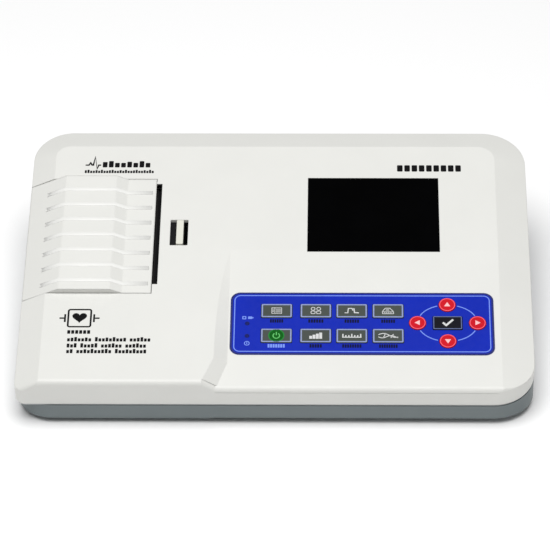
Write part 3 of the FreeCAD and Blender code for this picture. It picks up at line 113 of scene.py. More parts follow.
class Graph:
    """A material's node tree, with short calls to add and join nodes."""

    def __init__(self, name, roughness, metallic=0.0, specular=0.5):
        self.material = bpy.data.materials.new(name)
        self.material.use_nodes = True
        self.tree = self.material.node_tree
        self.shader = self.tree.nodes["Principled BSDF"]
        self.shader.inputs["Roughness"].default_value = roughness
        self.shader.inputs["Metallic"].default_value = metallic
        self.shader.inputs["Specular IOR Level"].default_value = specular
        self.place = self.node("ShaderNodeTexCoord").outputs["Object"]

    def node(self, kind, inputs=(), **settings):
        made = self.tree.nodes.new(kind)
        for key, setting in settings.items():
            setattr(made, key, setting)
        for key, source in dict(inputs).items():
            if isinstance(source, bpy.types.NodeSocket):
                self.tree.links.new(source, made.inputs[key])
            else:
                made.inputs[key].default_value = source
        return made

    def mapped(self, source, **inputs):
        return self.node("ShaderNodeMapping", {"Vector": source, **inputs}).outputs["Vector"]

    def noise(self, size_mm, detail=2.0, stretch=None):
        """Noise whose features are about this many millimetres across."""
        vector = self.place if stretch is None else self.mapped(self.place, Scale=stretch)
        return self.node("ShaderNodeTexNoise", {
            "Vector": vector, "Scale": 1 / (size_mm * MM), "Detail": detail}).outputs["Fac"]

    def join(self, name, source):
        self.tree.links.new(source, self.shader.inputs[name])

    def colour(self, source, first, second):
        """The base colour follows a source between two stops, each a position and a colour."""
        made = self.node("ShaderNodeValToRGB", {"Fac": source})
        for element, (position, colour) in zip(made.color_ramp.elements, (first, second)):
            element.position = position
            element.color = (*colour, 1)
        self.join("Base Color", made.outputs["Color"])

    def mottle(self, source, colour, dark, light):
        """The base colour drifts between a darker and a lighter shade of one colour."""
        self.colour(source, (NOISE_LOW, shade(colour, dark)), (NOISE_HIGH, shade(colour, light)))

    def sheen(self, source, low, high):
        """The roughness drifts between two values."""
        self.join("Roughness", self.node("ShaderNodeMapRange", {
            "Value": source, "From Min": NOISE_LOW, "From Max": NOISE_HIGH,
            "To Min": low, "To Max": high}).outputs["Result"])

    def relief(self, height, depth_mm, soft_mm=0.0):
        """Surface bumps of this depth, over edges rounded to the given radius if there is one."""
        normal = {}
        if soft_mm:
            bevel = self.node("ShaderNodeBevel", {"Radius": soft_mm * MM}, samples=4)
            normal = {"Normal": bevel.outputs["Normal"]}
        bump = self.node("ShaderNodeBump", {
            "Height": height, "Distance": depth_mm * MM, "Strength": 1.0, **normal})
        self.join("Normal", bump.outputs["Normal"])


def shade(colour, factor):
    return tuple(min(1.0, channel * factor) for channel in colour)


def moulded(name, colour, roughness=0.5, grain_mm=0.45, depth_mm=0.012, soft_mm=0.3, specular=0.4,
            drift=0.03):
    """Moulded plastic: a fine spark-eroded grain, slight shade drift over the part, uneven sheen."""
    g = Graph(name, roughness, specular=specular)
    g.mottle(g.noise(38, detail=3.0), colour, dark=1 - drift, light=1 + drift)
    g.sheen(g.noise(6, detail=4.0), roughness - 0.05, roughness + 0.05)
    g.relief(g.noise(grain_mm, detail=3.0), depth_mm, soft_mm)
    return g.material


def shell(name, soft_mm):
    """The off-white plastic of the lid and the paper cover."""
    return moulded(name, (0.70, 0.70, 0.67), roughness=0.42, grain_mm=0.4, depth_mm=0.010,
                   soft_mm=soft_mm, drift=0.012)


def film(name, colour, roughness=0.32, specular=0.15):
    """A printed polyester film with a very fine satin texture."""
    g = Graph(name, roughness, specular=specular)
    g.mottle(g.noise(22), colour, dark=0.95, light=1.05)
    g.sheen(g.noise(3, detail=3.0), roughness - 0.04, roughness + 0.05)
    g.relief(g.noise(0.16), depth_mm=0.0025, soft_mm=0.12)
    return g.material


def ink(name, colour, roughness=0.5, specular=0.3):
    """Screen-printed ink, with the slight mottle of a pad print."""
    g = Graph(name, roughness, specular=specular)
    g.mottle(g.noise(1.1, detail=3.0), colour, dark=0.88, light=1.08)
    g.sheen(g.noise(0.7), roughness - 0.06, roughness + 0.06)
    g.relief(g.noise(0.3), depth_mm=0.003)
    return g.material


def metal(name, colour, roughness, stretch=(1, 1, 1), line_mm=0.3):
    """Bare or plated metal; the stretch draws the noise out into a brushed or turned grain."""
    g = Graph(name, roughness, metallic=1.0)
    streak = g.noise(line_mm, detail=3.0, stretch=stretch)
    g.colour(streak, (0.25, shade(colour, 0.86)), (0.75, shade(colour, 1.06)))
    g.sheen(g.noise(2.5, detail=4.0), roughness - 0.07, roughness + 0.09)
    g.relief(streak, depth_mm=0.003, soft_mm=0.12)
    return g.material


def rubber(name, colour, roughness=0.72, grain_mm=0.5, depth_mm=0.02):
    """Rubber with a little pale dust on it."""
    g = Graph(name, roughness, specular=0.3)
    dust = g.noise(7, detail=5.0)
    g.colour(dust, (0.35, colour), (0.8, shade(colour, 1.9)))
    g.sheen(dust, roughness - 0.08, roughness + 0.1)
    g.relief(g.noise(grain_mm, detail=3.0), depth_mm, soft_mm=0.35)
    return g.material


def circuit(name):
    """Green solder mask with buried tracks and tinned pads."""
    g = Graph(name, roughness=0.35)
    tracks = g.node("ShaderNodeTexBrick", {
        "Vector": g.place, "Scale": 160.0, "Mortar Size": 0.06, "Color1": (0.012, 0.12, 0.035, 1),
        "Color2": (0.016, 0.15, 0.045, 1), "Mortar": (0.03, 0.23, 0.08, 1)})
    pads = g.node("ShaderNodeTexVoronoi", {"Vector": g.place, "Scale": 260.0})
    dots = g.node("ShaderNodeMapRange", {
        "Value": pads.outputs["Distance"], "From Min": 0.16, "From Max": 0.2,
        "To Min": 1.0, "To Max": 0.0})
    mixed = g.node("ShaderNodeMix", {
        "Factor": dots.outputs["Result"], MIX_COLOUR_A: tracks.outputs["Color"],
        MIX_COLOUR_B: (0.55, 0.55, 0.52, 1)}, data_type="RGBA")
    g.join("Base Color", mixed.outputs[MIX_COLOUR_RESULT])
    g.relief(tracks.outputs["Fac"], depth_mm=0.02, soft_mm=0.1)
    return g.material


# The paper roll's centre across, along and out of the lid.
ROLL_CENTRE = (-118, 0, -0.5)


def paper(name):
    """Thermal paper on a roll: wound layers show as fine rings on its ends."""
    g = Graph(name, roughness=0.6, specular=0.3)
    about_centre = g.mapped(g.place, Location=-(LID @ (Vector(ROLL_CENTRE) * MM)))
    along_axis = g.mapped(about_centre, Rotation=(-tilt, 0, 0))
    rings = g.node("ShaderNodeTexWave", {
        "Vector": along_axis, "Scale": 650.0, "Distortion": 0.4, "Detail": 2.0},
        wave_type="RINGS", rings_direction="Y").outputs["Fac"]
    g.colour(rings, (0.1, (0.74, 0.73, 0.69)), (0.6, (0.87, 0.86, 0.83)))
    g.relief(rings, depth_mm=0.05, soft_mm=0.1)
    return g.material


def screen_glass(name):
    """A dark display window: black behind a hard, slightly hazed front."""
    g = Graph(name, roughness=0.12, specular=0.03)
    g.colour(g.noise(30), (NOISE_LOW, (0.0004, 0.0004, 0.0005)), (NOISE_HIGH, (0.0008, 0.0008, 0.001)))
    g.sheen(g.noise(5, detail=4.0), low=0.1, high=0.2)
    g.relief(g.noise(9), depth_mm=0.004, soft_mm=0.15)
    return g.material


FINISHES = {
    "shell_white": shell("shell_white", soft_mm=0.7),
    "base_grey": moulded("base_grey", (0.157, 0.184, 0.190), grain_mm=0.5, depth_mm=0.02, soft_mm=0.5),
    "trim_light_grey": moulded("trim_light_grey", (0.50, 0.51, 0.51), roughness=0.45),
    "screen_black": screen_glass("screen_black"),
    "module_steel": metal("module_steel", (0.50, 0.51, 0.52), roughness=0.38, stretch=(1, 0.06, 1)),
    "overlay_blue": film("overlay_blue", (0.001, 0.017, 0.39)),
    "circuit_board": circuit("circuit_board"),
    "lamp_dark": film("lamp_dark", (0.002, 0.006, 0.11), roughness=0.3, specular=0.2),
    "battery_wrap": film("battery_wrap", (0.02, 0.06, 0.24), roughness=0.25),
    # Black plastic also colours the guide plate under the latch window, a dark plate that paints the
    # shade of the recess there.
    "black_plastic": moulded("black_plastic", (0.007, 0.007, 0.007), grain_mm=0.4, depth_mm=0.01,
                             soft_mm=0.25, specular=0.12),
    "nickel": metal("nickel", (0.66, 0.64, 0.60), roughness=0.22, line_mm=0.6),
    "connector_blue": moulded("connector_blue", (0.02, 0.08, 0.35), roughness=0.4),
    "bright_steel": metal("bright_steel", (0.62, 0.63, 0.64), roughness=0.25, stretch=(0.1, 1, 1)),
    "platen_rubber": rubber("platen_rubber", (0.008, 0.008, 0.009), roughness=0.7, grain_mm=0.25,
                            depth_mm=0.008),
    "gear_plastic": moulded("gear_plastic", (0.68, 0.66, 0.58), roughness=0.4),
    "bush_brass": metal("bush_brass", (0.62, 0.44, 0.17), roughness=0.28),
    "head_ceramic": film("head_ceramic", (0.008, 0.0075, 0.007), roughness=0.35, specular=0.2),
    "heatsink": metal("heatsink", (0.014, 0.014, 0.015), roughness=0.5, stretch=(1, 0.05, 1)),
    "thermal_paper": paper("thermal_paper"),
    "spindle_grey": moulded("spindle_grey", (0.20, 0.21, 0.22), roughness=0.45),
    "latch_ivory": moulded("latch_ivory", (0.68, 0.675, 0.60), roughness=0.4),
    "tear_steel": metal("tear_steel", (0.012, 0.012, 0.012), roughness=0.5, stretch=(1, 0.1, 1)),
    "foot_rubber": rubber("foot_rubber", (0.022, 0.022, 0.023)),
    "key_grey": film("key_grey", (0.060, 0.071, 0.063), roughness=0.4, specular=0.1),
    "key_red": film("key_red", (0.56, 0.004, 0.014), roughness=0.3),
    "key_black": film("key_black", (0.004, 0.004, 0.009), roughness=0.4, specular=0.1),
}

# The thin-skinned cover has softer edges than the rest of the shell.
COVER_WHITE = shell("cover_white", soft_mm=1.6)
# The beads are a lighter white than the cover itself, a painted highlight along each rib.
BEAD_PAINTED_HIGHLIGHT = moulded("bead_painted_highlight", (0.76, 0.76, 0.735), roughness=0.4, grain_mm=0.4, depth_mm=0.008,
                     soft_mm=0.4, drift=0.012)

INK_BLACK = ink("ink_black", (0.004, 0.004, 0.0045), roughness=0.6, specular=0.08)
INK_WHITE = ink("ink_white", (0.62, 0.63, 0.63))
INK_PALE_GREY = ink("ink_pale_grey", (0.25, 0.30, 0.51))
INK_SLATE = ink("ink_slate", (0.11, 0.14, 0.28), specular=0.15)
INK_NAVY = ink("ink_navy", (0.004, 0.010, 0.13))
INK_MIDNIGHT = ink("ink_midnight", (0.002, 0.003, 0.030), roughness=0.6, specular=0.1)
INK_SKY = ink("ink_sky", (0.17, 0.28, 0.80))
INK_GREEN = ink("ink_green", (0.0, 0.10, 0.005), roughness=0.6, specular=0.1)
INK_GREEN_RIM = ink("ink_green_rim", (0.01, 0.23, 0.03), roughness=0.6, specular=0.1)
INK_MINT = ink("ink_mint", (0.10, 0.50, 0.12))
INK_PINK = ink("ink_pink", (0.90, 0.50, 0.50))
INK_RED_RIM = ink("ink_red_rim", (0.86, 0.11, 0.16))


def dress_cad_nodes():
    for part in frame["record"]["subparts"]:
        finish = COVER_WHITE if part["node"] == "paper_cover" else FINISHES[part["material_slot"]]
        materials = frame["nodes"][part["node"]].data.materials
        materials.clear()
        materials.append(finish)


# ---------------------------------------------------------------- printed shapes

# A shape is a list of outlines, the outer one and then its holes; an outline is a list of points.
ARC_STEP_DEGREES, ARC_LEAST_STEPS, DISC_STEPS = 9, 4, 40
LEAST_INNER_CORNER = 0.15


def arc(x, y, radius, start, end, radius_y=None, steps=None):
    """Points on a circle or ellipse between two angles in degrees."""
    tall = radius if radius_y is None else radius_y
    steps = steps or max(ARC_LEAST_STEPS, int(abs(end - start) / ARC_STEP_DEGREES))
    angles = [math.radians(start + (end - start) * i / steps) for i in range(steps + 1)]
    return [(x + radius * math.cos(a), y + tall * math.sin(a)) for a in angles]


def disc(x, y, radius):
    return arc(x, y, radius, 0, 360, steps=DISC_STEPS)[:-1]


def box(x, y, wide, high, corner=0.0):
    """A rectangle about its centre, with rounded corners if they have a radius."""
    half_wide, half_high = wide / 2, high / 2
    points = []
    for turn, side_x, side_y in ((180, -1, -1), (270, 1, -1), (0, 1, 1), (90, -1, 1)):
        corner_x, corner_y = x + side_x * (half_wide - corner), y + side_y * (half_high - corner)
        points += arc(corner_x, corner_y, corner, turn, turn + 90) if corner else [(corner_x, corner_y)]
    return points


def bar(x, y, wide, high, corner=0.0):
    return [box(x, y, wide, high, corner)]


def ring_box(x, y, wide, high, corner, line):
    """A rectangular frame whose line lies inside the given size."""
    return [box(x, y, wide, high, corner),
            box(x, y, wide - 2 * line, high - 2 * line, max(corner - line, LEAST_INNER_CORNER))]


def ring(x, y, radius, line):
    return [disc(x, y, radius), disc(x, y, radius - line)]


def stroke(points, line):
    """A line of this width through the points."""
    left, right = [], []
    for i, (x, y) in enumerate(points):
        before = points[max(i - 1, 0)]
        after = points[min(i + 1, len(points) - 1)]
        first = Vector((x - before[0], y - before[1]))
        second = Vector((after[0] - x, after[1] - y))
        first = first.normalized() if first.length else second.normalized()
        second = second.normalized() if second.length else first
        along = (first + second).normalized()
        # At a sharp turn the mitre reaches no further than the line's own width.
        reach = line / 2 / max(0.5, along.dot(second))
        left.append((x - along.y * reach, y + along.x * reach))
        right.append((x + along.y * reach, y - along.x * reach))
    return [left + right[::-1]]


def moved(shapes, x, y, size=1.0):
    return [[[(px * size + x, py * size + y) for px, py in outline] for outline in shape]
            for shape in shapes]


INK_THICK = 0.03
# Prints start this far above the surface under them.
INK_CLEAR = 0.005
SAME_POINT = 1e-7


def filled(shape):
    """A thin solid mesh of one outline with its holes."""
    curve = bpy.data.curves.new("shape", "CURVE")
    curve.dimensions = "2D"
    curve.fill_mode = "BOTH"
    curve.extrude = INK_THICK / 2 * MM
    for outline in shape:
        spline = curve.splines.new("POLY")
        spline.points.add(len(outline) - 1)
        for point, (x, y) in zip(spline.points, outline):
            point.co = (x * MM, y * MM, 0, 1)
        spline.use_cyclic_u = True
    flat = add_object("shape", curve)
    mesh = bpy.data.meshes.new_from_object(flat.evaluated_get(bpy.context.evaluated_depsgraph_get()))
    bpy.data.objects.remove(flat)
    return mesh


def print_piece(name, plane, height, shapes, material, body="root"):
    """A thin film of ink or foil on a plane at a height."""
    joined = bmesh.new()
    for shape in shapes:
        joined.from_mesh(filled(shape))
    bmesh.ops.remove_doubles(joined, verts=joined.verts, dist=SAME_POINT)
    bmesh.ops.recalc_face_normals(joined, faces=joined.faces)
    placement = plane @ Matrix.Translation((0, 0, (height + INK_THICK / 2) * MM))
    add_piece(name, joined, placement, material, body)


# The blocks that stand where words would be: their heights where a word mixes them, and their pitch
# and the gap between words as shares of a block's width.
LETTER_HEIGHTS = (1.0, 0.72, 0.72, 0.9, 0.72, 1.0, 0.72, 0.72, 0.85)
BLOCK_PITCH, WORD_GAP, BLOCK_ROUND = 1.3, 1.1, 0.2


def dummy_word(left, base, count, block, size, capitals=False):
    """A row of small upright blocks, each as wide as block and up to size high."""
    shapes = []
    for i in range(count):
        high = size * (1.0 if capitals else LETTER_HEIGHTS[(i + count) % len(LETTER_HEIGHTS)])
        middle = left + block * (0.5 + BLOCK_PITCH * i)
        shapes.append(bar(middle, base + high / 2, block, high, block * BLOCK_ROUND))
    return shapes


def dummy_words(left, base, counts, block, size):
    shapes = []
    for count in counts:
        shapes += dummy_word(left, base, count, block, size)
        left += block * (BLOCK_PITCH * count + WORD_GAP)
    return shapes


def dummy_row(centre, base, wide, count, size, capitals=False):
    """One word of blocks of this overall width about a centre."""
    block = wide / (BLOCK_PITCH * count - (BLOCK_PITCH - 1))
    return dummy_word(centre - wide / 2, base, count, block, size, capitals)


# ---------------------------------------------------------------- lid prints

LID_INK = LID_TOP + INK_CLEAR
SYMBOL_X, SYMBOL_Y, SYMBOL_SIZE, SYMBOL_LINE, SYMBOL_CORNER = -120.0, 51.3, 15.0, 1.15, 1.8
HEART_SIZE, HEART_STEPS = 9.0, 48
# The paddles beside the frame: the gap to the plate, the plate's height, the stem and its offset.
PADDLE_GAP, PADDLE_HIGH, PADDLE_STEM, PADDLE_STEM_OUT = 1.4, 6.4, 2.8, 2.0
# The note under the symbol: where each line stands, and how many blocks its words have.
NOTE_LINES = ((32.6, (7, 9, 6)), (27.7, (3, 5, 6, 6)), (23.2, (2, 10, 9)))
NOTE_LEFT, NOTE_BLOCK, NOTE_HIGH = -126.6, 1.66, 3.5
# The pulse line at the name: points on a base line with one tall beat, and the line's width.
PULSE_BASE, PULSE_LINE = 180.6, 1.1
PULSE = ((-123.4, 0), (-121.2, 0), (-120.2, 2.0), (-119.2, 0), (-118.4, 0), (-117.4, 7.2), (-115.9, -3.2),
         (-114.9, 0), (-113.4, 0))


def heart(x, y, size):
    """The classic heart curve, which is 32 units wide and a little off centre in height."""
    unit, rise = size / 32, 2.5
    points = []
    for i in range(HEART_STEPS):
        a = 2 * math.pi * i / HEART_STEPS
        across = 16 * math.sin(a) ** 3
        along = 13 * math.cos(a) - 5 * math.cos(2 * a) - 2 * math.cos(3 * a) - math.cos(4 * a)
        points.append((x + across * unit, y + (along + rise) * unit))
    return points


def add_lid_prints():
    symbol = [ring_box(SYMBOL_X, SYMBOL_Y, SYMBOL_SIZE, SYMBOL_SIZE, SYMBOL_CORNER, SYMBOL_LINE),
              [heart(SYMBOL_X, SYMBOL_Y, HEART_SIZE)]]
    for side in (-1, 1):
        plate = SYMBOL_X + side * (SYMBOL_SIZE / 2 + PADDLE_GAP)
        symbol.append(bar(plate, SYMBOL_Y, SYMBOL_LINE, PADDLE_HIGH))
        symbol.append(bar(plate + side * PADDLE_STEM_OUT, SYMBOL_Y, PADDLE_STEM, SYMBOL_LINE))
    print_piece("lid_heart_symbol", LID, LID_INK, symbol, INK_BLACK)

    note = dummy_row(centre=SYMBOL_X + 0.1, base=38.7, wide=14.0, count=6, size=2.9, capitals=True)
    for base, counts in NOTE_LINES:
        note += dummy_words(NOTE_LEFT, base, counts, NOTE_BLOCK, NOTE_HIGH)
    print_piece("lid_note_blocks", LID, LID_INK, note, INK_BLACK)

    marks = [stroke([(x, PULSE_BASE + rise) for x, rise in PULSE], PULSE_LINE)]
    marks += dummy_row(centre=-97.2, base=178.6, wide=30.4, count=8, size=5.6)
    marks += dummy_row(centre=-101.6, base=173.6, wide=44.0, count=26, size=2.9)
    print_piece("lid_name_blocks", LID, LID_INK, marks, INK_BLACK)
    model = dummy_row(centre=95.7, base=175.3, wide=40.6, count=9, size=5.6, capitals=True)
    print_piece("lid_model_blocks", LID, LID_INK, model, INK_BLACK)


# ---------------------------------------------------------------- keypad prints

PAD_LEFT, PAD_RIGHT, PAD_FRONT, PAD_BACK = -27.7, 133.3, -81.7, -34.0
PAD_X, PAD_Y = (PAD_LEFT + PAD_RIGHT) / 2, (PAD_FRONT + PAD_BACK) / 2
PAD_WIDE, PAD_HIGH, PAD_CORNER = PAD_RIGHT - PAD_LEFT, PAD_BACK - PAD_FRONT, 6
# The dark border stops just short of the overlay's edge; a light stripe runs further in.
BORDER_INSET, BORDER_LINE, STRIPE_INSET, STRIPE_LINE = 0.05, 1.1, 2.1, 0.6
KEY_COLUMNS = (0.5, 24.5, 46.5, 68.7)
KEY_ROWS = {"back": -48.4, "front": -67.5}
KEY_WIDE, KEY_HIGH, KEY_CORNER = 19.0, 10.6, 0.8
SET_WIDE, SET_HIGH = 18.0, 10.3
KEY_INSET, KEY_LINE, SET_LINE = 0.25, 0.85, 0.6
POWER_KEY, POWER_DISC, POWER_RIM, POWER_RIM_LINE = "key_front_1", 4.25, 4.9, 0.6
# The arrow keys stand on an oval about the middle key; the oval's line stops short of each of them.
NAV_X, NAV_Y, NAV_ACROSS, NAV_ALONG, NAV_RADIUS = 105.0, -57.4, 18.3, 13.95, 5.2
NAV_RIM_INSET, NAV_RIM_LINE = 0.35, 0.5
ARROW_TIP, ARROW_BACK, ARROW_HALF = 1.9, 1.3, 1.9
OVAL_CLEAR, OVAL_LINE, OVAL_STEPS = 0.55, 0.65, 60
# The overlay's and the keys' tops above the key facet.
PAD_INK, KEY_INK = 0.2 + INK_CLEAR, 0.7 + INK_CLEAR
# The legend under each key: its width, how far below the key's middle it stands and its blocks.
LEGENDS = {"back": (8.0, 9.2, 8.8, 8.4), "front": (10.4, 7.4, 11.6, 11.2)}
LEGEND_DROP, LEGEND_HIGH, LEGEND_PITCH = 8.9, 2.6, 1.45
# The marks by the lamps: a cell and a plug behind them, a ring in front of them.
LAMP_X, CELL_Y, RING_Y = -17.4, -53.6, -73.2


# The key pictures are drawn about the key's middle.

def icon_list():
    thin = 0.42
    shapes = [ring_box(0, 0, 8.6, 6.4, 0.3, 0.45), bar(-1.6, 0, 0.4, 5.4)]
    shapes += [bar(1.4, y, 4.4, thin) for y in (-1.6, -0.55, 0.55, 1.6)]
    shapes += [bar(-2.95, y, 1.5, thin) for y in (-1.1, 0.2, 1.5)]
    return shapes


def icon_leads():
    line = 0.5
    shapes = []
    for x in (-2.0, 2.0):
        shapes.append(ring(x, 1.7, 1.6, line))
        shapes.append(ring_box(x, -1.5, 3.4, 2.8, 0.9, line))
    return shapes


def icon_pulse():
    return [stroke([(-5.2, -1.9), (-2.9, -1.9), (-2.5, 2.2), (0.2, 2.2), (0.8, 0.2)], 0.7),
            stroke([(1.5, 2.3), (2.0, -1.7), (5.2, -1.9)], 0.9)]


def icon_print():
    tray_y = -1.9
    shapes = [stroke([(-4.4, -0.6), (-2.2, 2.6), (1.5, 2.6), (4.1, -0.6)], 0.6),
              ring_box(0, tray_y, 9.2, 2.4, 0.4, 0.5)]
    shapes += [bar(x, tray_y, 0.8, 0.6) for x in (-2.6, -1.0, 0.6, 2.2)]
    shapes += [bar(-0.4, y, 2.8, 0.4) for y in (0.3, 1.3)]
    return shapes


def icon_bars():
    first, pitch, base, wide = -3.3, 2.2, -2.7, 1.9
    return [bar(first + pitch * i, base + high / 2, wide, high, 0.15)
            for i, high in enumerate((2.4, 3.3, 4.2, 5.1))]


def icon_scale():
    ticks, first, pitch, base, wide = 7, -5.7, 1.9, -0.95, 0.8
    shapes = [bar(0, -1.3, 12.4, 0.7)]
    for i in range(ticks):
        high = 1.3 if i % 3 else 2.3
        shapes.append(bar(first + pitch * i, base + high / 2, wide, high))
    return shapes


def icon_filter():
    """Two crossing waves with a slash at each end."""
    steps = [(i, -6 + i * 0.5) for i in range(25)]
    upper = [(x, 0.2 + 1.5 * math.cos((i - 6) * 0.21)) for i, x in steps]
    lower = [(x, -0.8 + 0.9 * math.sin((i - 10) * 0.3)) for i, x in steps]
    wave, slash = 0.55, 0.5
    return [stroke(upper, wave), stroke(lower, wave), stroke([(-3.1, -1.9), (-1.5, 2.0)], slash),
            stroke([(1.6, -1.6), (3.2, 1.2)], slash)]


def icon_power():
    line = 0.65
    return [stroke(arc(0, -0.2, 2.0, 125, 415), line), bar(0, 1.4, line, 2.4)]


# Each key's picture and its size.
ICONS = {
    "key_back_1": (icon_list, 0.74), "key_back_2": (icon_leads, 0.86), "key_back_3": (icon_pulse, 0.84),
    "key_back_4": (icon_print, 0.78), "key_front_2": (icon_bars, 0.92), "key_front_3": (icon_scale, 0.95),
    "key_front_4": (icon_filter, 1.0)}


def print_on_pad(name, shapes, material):
    print_piece(name, KEYS, PAD_INK, shapes, material)


def print_on_key(key, what, shapes, material, above=0.0):
    print_piece(f"{key}_{what}", KEYS, KEY_INK + above, shapes, material, key)


def pad_frame(inset, corner, line):
    return [ring_box(PAD_X, PAD_Y, PAD_WIDE - 2 * inset, PAD_HIGH - 2 * inset, corner, line)]


def key_frame(x, y, wide, high, line):
    return [ring_box(x, y, wide - 2 * KEY_INSET, high - 2 * KEY_INSET, KEY_CORNER, line)]


def lamp_marks():
    """Beside the lamps: a cell and a plug behind them, and a ring with a bar in front of them."""
    return [ring_box(LAMP_X - 1.9, CELL_Y, 2.4, 2.4, 0.3, 0.6),
            bar(LAMP_X + 1.7, CELL_Y, 2.6, 1.9, 0.3), bar(LAMP_X + 3.4, CELL_Y, 0.6, 0.9),
            ring(LAMP_X, RING_Y, 1.7, 0.5), bar(LAMP_X, RING_Y, 0.5, 1.6)]


def oval_arcs():
    """The oval line through the arrow keys, in four stretches between them."""
    centres = [(NAV_ACROSS, 0), (-NAV_ACROSS, 0), (0, NAV_ALONG), (0, -NAV_ALONG)]
    arcs = []
    for start in (0, 90, 180, 270):
        points = [p for p in arc(0, 0, NAV_ACROSS, start, start + 90, NAV_ALONG, OVAL_STEPS)
                  if all(math.dist(p, c) > NAV_RADIUS + OVAL_CLEAR for c in centres)]
        arcs.append(stroke(points, OVAL_LINE))
    return moved(arcs, NAV_X, NAV_Y)


def add_overlay_prints():
    print_on_pad("overlay_border", pad_frame(BORDER_INSET, PAD_CORNER, BORDER_LINE), INK_NAVY)
    print_on_pad("overlay_line", pad_frame(STRIPE_INSET, PAD_CORNER - STRIPE_INSET, STRIPE_LINE), INK_SKY)
    legends = {}
    for row, y in KEY_ROWS.items():
        for i, (x, wide) in enumerate(zip(KEY_COLUMNS, LEGENDS[row])):
            legends[f"key_{row}_{i + 1}"] = dummy_row(
                x, y - LEGEND_DROP, wide, round(wide / LEGEND_PITCH), LEGEND_HIGH, capitals=True)
    light = legends.pop(POWER_KEY) + lamp_marks()
    print_on_pad("overlay_key_legends", sum(legends.values(), []), INK_MIDNIGHT)
    print_on_pad("overlay_light_marks", light, INK_SKY)
    print_on_pad("overlay_oval", oval_arcs(), INK_SKY)


def add_key_prints():
    for row, y in KEY_ROWS.items():
        for i, x in enumerate(KEY_COLUMNS):
            key = f"key_{row}_{i + 1}"
            print_on_key(key, "border", key_frame(x, y, KEY_WIDE, KEY_HIGH, KEY_LINE), INK_PALE_GREY)
            if key in ICONS:
                icon, size = ICONS[key]
                print_on_key(key, "icon", moved(icon(), x, y, size), INK_WHITE)
    x, y = KEY_COLUMNS[0], KEY_ROWS["front"]
    print_on_key(POWER_KEY, "disc", [[disc(x, y, POWER_DISC)]], INK_GREEN)
    print_on_key(POWER_KEY, "rim", [ring(x, y, POWER_RIM, POWER_RIM_LINE)], INK_GREEN_RIM)
    print_on_key(POWER_KEY, "icon", moved(icon_power(), x, y), INK_MINT, above=INK_THICK)
    print_on_key("key_set", "border", key_frame(NAV_X, NAV_Y, SET_WIDE, SET_HIGH, SET_LINE), INK_SLATE)
    tick = [stroke([(-2.9, 0.1), (-0.9, -2.0), (3.4, 2.4)], 1.3)]
    print_on_key("key_set", "icon", moved(tick, NAV_X, NAV_Y), INK_WHITE)
    for name, across, along in (("up", 0, 1), ("down", 0, -1), ("left", -1, 0), ("right", 1, 0)):
        x, y = NAV_X + NAV_ACROSS * across, NAV_Y + NAV_ALONG * along
        arrow = [(x + across * ARROW_TIP, y + along * ARROW_TIP)]
        arrow += [(x - across * ARROW_BACK - side * along * ARROW_HALF,
                   y - along * ARROW_BACK + side * across * ARROW_HALF) for side in (1, -1)]
        rim = ring(x, y, NAV_RADIUS - NAV_RIM_INSET, NAV_RIM_LINE)
        print_on_key(f"key_{name}", "rim", [rim], INK_RED_RIM)
        print_on_key(f"key_{name}", "arrow", [[arrow]], INK_PINK)


# ---------------------------------------------------------------- beads on the paper cover's ribs

RIB_FIRST, RIB_PITCH, RIB_COUNT = 79.7, 12.77, 7
BEAD_HALF, BEAD_HIGH, BEAD_SUNK, BEAD_STEPS = 1.6, 0.5, 0.15, 12
# Along a bead: its place across the lid, the skin's height there and its share of the full height.
BEAD_PATH = ((-146.4, 17.55, 0.0), (-134.5, 23.5, 1.0), (-102.5, 23.5, 1.0), (-95.3, 20.0, 1.0),
             (-79.4, 20.0, 1.0))


def bead_section(share):
    """Points around a bead: a half-round top and two points sunk under the cover's skin."""
    angles = [math.pi * i / BEAD_STEPS for i in range(BEAD_STEPS + 1)]
    top = [(BEAD_HALF * math.cos(a), share * BEAD_HIGH * math.sin(a)) for a in angles]
    return top + [(-BEAD_HALF, -BEAD_SUNK), (BEAD_HALF, -BEAD_SUNK)]


def add_cover_beads():
    """Soft half-round beads over the cover's seven ribs, in a lighter white that paints a highlight along
    each rib.
    """
    beads = bmesh.new()
    for rib in range(RIB_COUNT):
        middle = RIB_FIRST + RIB_PITCH * rib
        rings = [[beads.verts.new((x * MM, (middle + y) * MM, (skin + high) * MM))
                  for y, high in bead_section(share)] for x, skin, share in BEAD_PATH]
        for first, second in zip(rings, rings[1:]):
            for i in range(len(first)):
                j = (i + 1) % len(first)
                face = beads.faces.new((first[i], first[j], second[j], second[i]))
                face.smooth = i < BEAD_STEPS
        beads.faces.new(rings[0])
        beads.faces.new(rings[-1])
    bmesh.ops.recalc_face_normals(beads, faces=beads.faces)
    # The beads' lighter white is a painted highlight on the ribs.
    add_piece("cover_beads", beads, LID, BEAD_PAINTED_HIGHLIGHT, "paper_cover")


# ---------------------------------------------------------------- rocker marks

ROCKER_PLACE, ROCKER_TILT = (62, back_y - 8.8, 30), math.radians(8)
# Each half of the rocker's face climbs from its waist to its end.
HALF_LONG, HALF_CLIMB, HALF_MIDDLE = 7.8, 1.2, 3.0


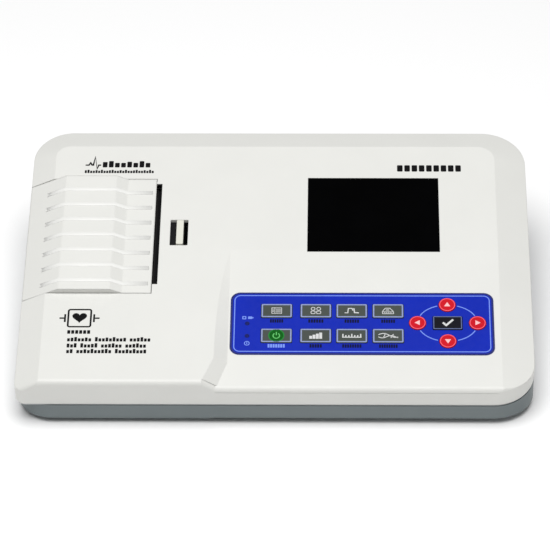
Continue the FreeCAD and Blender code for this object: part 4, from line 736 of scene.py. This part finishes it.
def add_rocker_marks():
    rocker = Matrix.Translation(Vector(ROCKER_PLACE) * MM) @ Matrix.Rotation(ROCKER_TILT, 4, "Z")
    for side, name, shape in ((1, "rocker_line_mark", bar(0, 0, 0.8, 4.0)),
                              (-1, "rocker_ring_mark", ring(0, 0, 2.1, 0.7))):
        middle = Matrix.Translation(Vector((side * HALF_LONG / 2, HALF_MIDDLE, 0)) * MM)
        climb = Matrix.Rotation(side * math.atan2(HALF_CLIMB, HALF_LONG), 4, "Z")
        face = rocker @ middle @ climb @ Matrix.Rotation(-math.pi / 2, 4, "X")
        print_piece(name, face, INK_CLEAR, [shape], INK_WHITE, "rocker")


# ---------------------------------------------------------------- floor and light

FLOOR_REACH, FLOOR_DROP = 6.0, 0.0002
LIGHT_PLACE, LIGHT_ACROSS, LIGHT_WATTS = (-0.1, -0.45, 1.95), 1.9, 45
WORLD_STRENGTH = 0.25


def add_floor():
    mesh = bpy.data.meshes.new("floor")
    corners = [(x * FLOOR_REACH, y * FLOOR_REACH, -FLOOR_DROP) for x, y in box(0, 0, 2, 2)]
    mesh.from_pydata(corners, [], [(0, 1, 2, 3)])
    g = Graph("floor", roughness=0.9, specular=0.1)
    g.colour(g.noise(900), (NOISE_LOW, (0.95, 0.95, 0.95)), (NOISE_HIGH, (0.96, 0.96, 0.96)))
    mesh.materials.append(g.material)
    add_object("floor", mesh)


def add_studio():
    """Even light from all round, and one wide lamp overhead that points at the origin."""
    world = bpy.data.worlds.new("studio")
    world.use_nodes = True
    background = world.node_tree.nodes["Background"]
    background.inputs["Color"].default_value = (1, 1, 1, 1)
    background.inputs["Strength"].default_value = WORLD_STRENGTH
    bpy.context.scene.world = world
    data = bpy.data.lights.new("overhead", "AREA")
    data.shape = "DISK"
    data.size = LIGHT_ACROSS
    data.energy = LIGHT_WATTS
    light = add_object("overhead", data)
    light.location = LIGHT_PLACE
    light.rotation_mode = "QUATERNION"
    light.rotation_quaternion = (-Vector(LIGHT_PLACE)).to_track_quat("-Z", "Y")
    bpy.context.scene.view_settings.view_transform = "Standard"


# ---------------------------------------------------------------- put together

add_camera()
dress_cad_nodes()
add_lid_prints()
add_overlay_prints()
add_key_prints()
add_cover_beads()
add_rocker_marks()
add_floor()
add_studio()
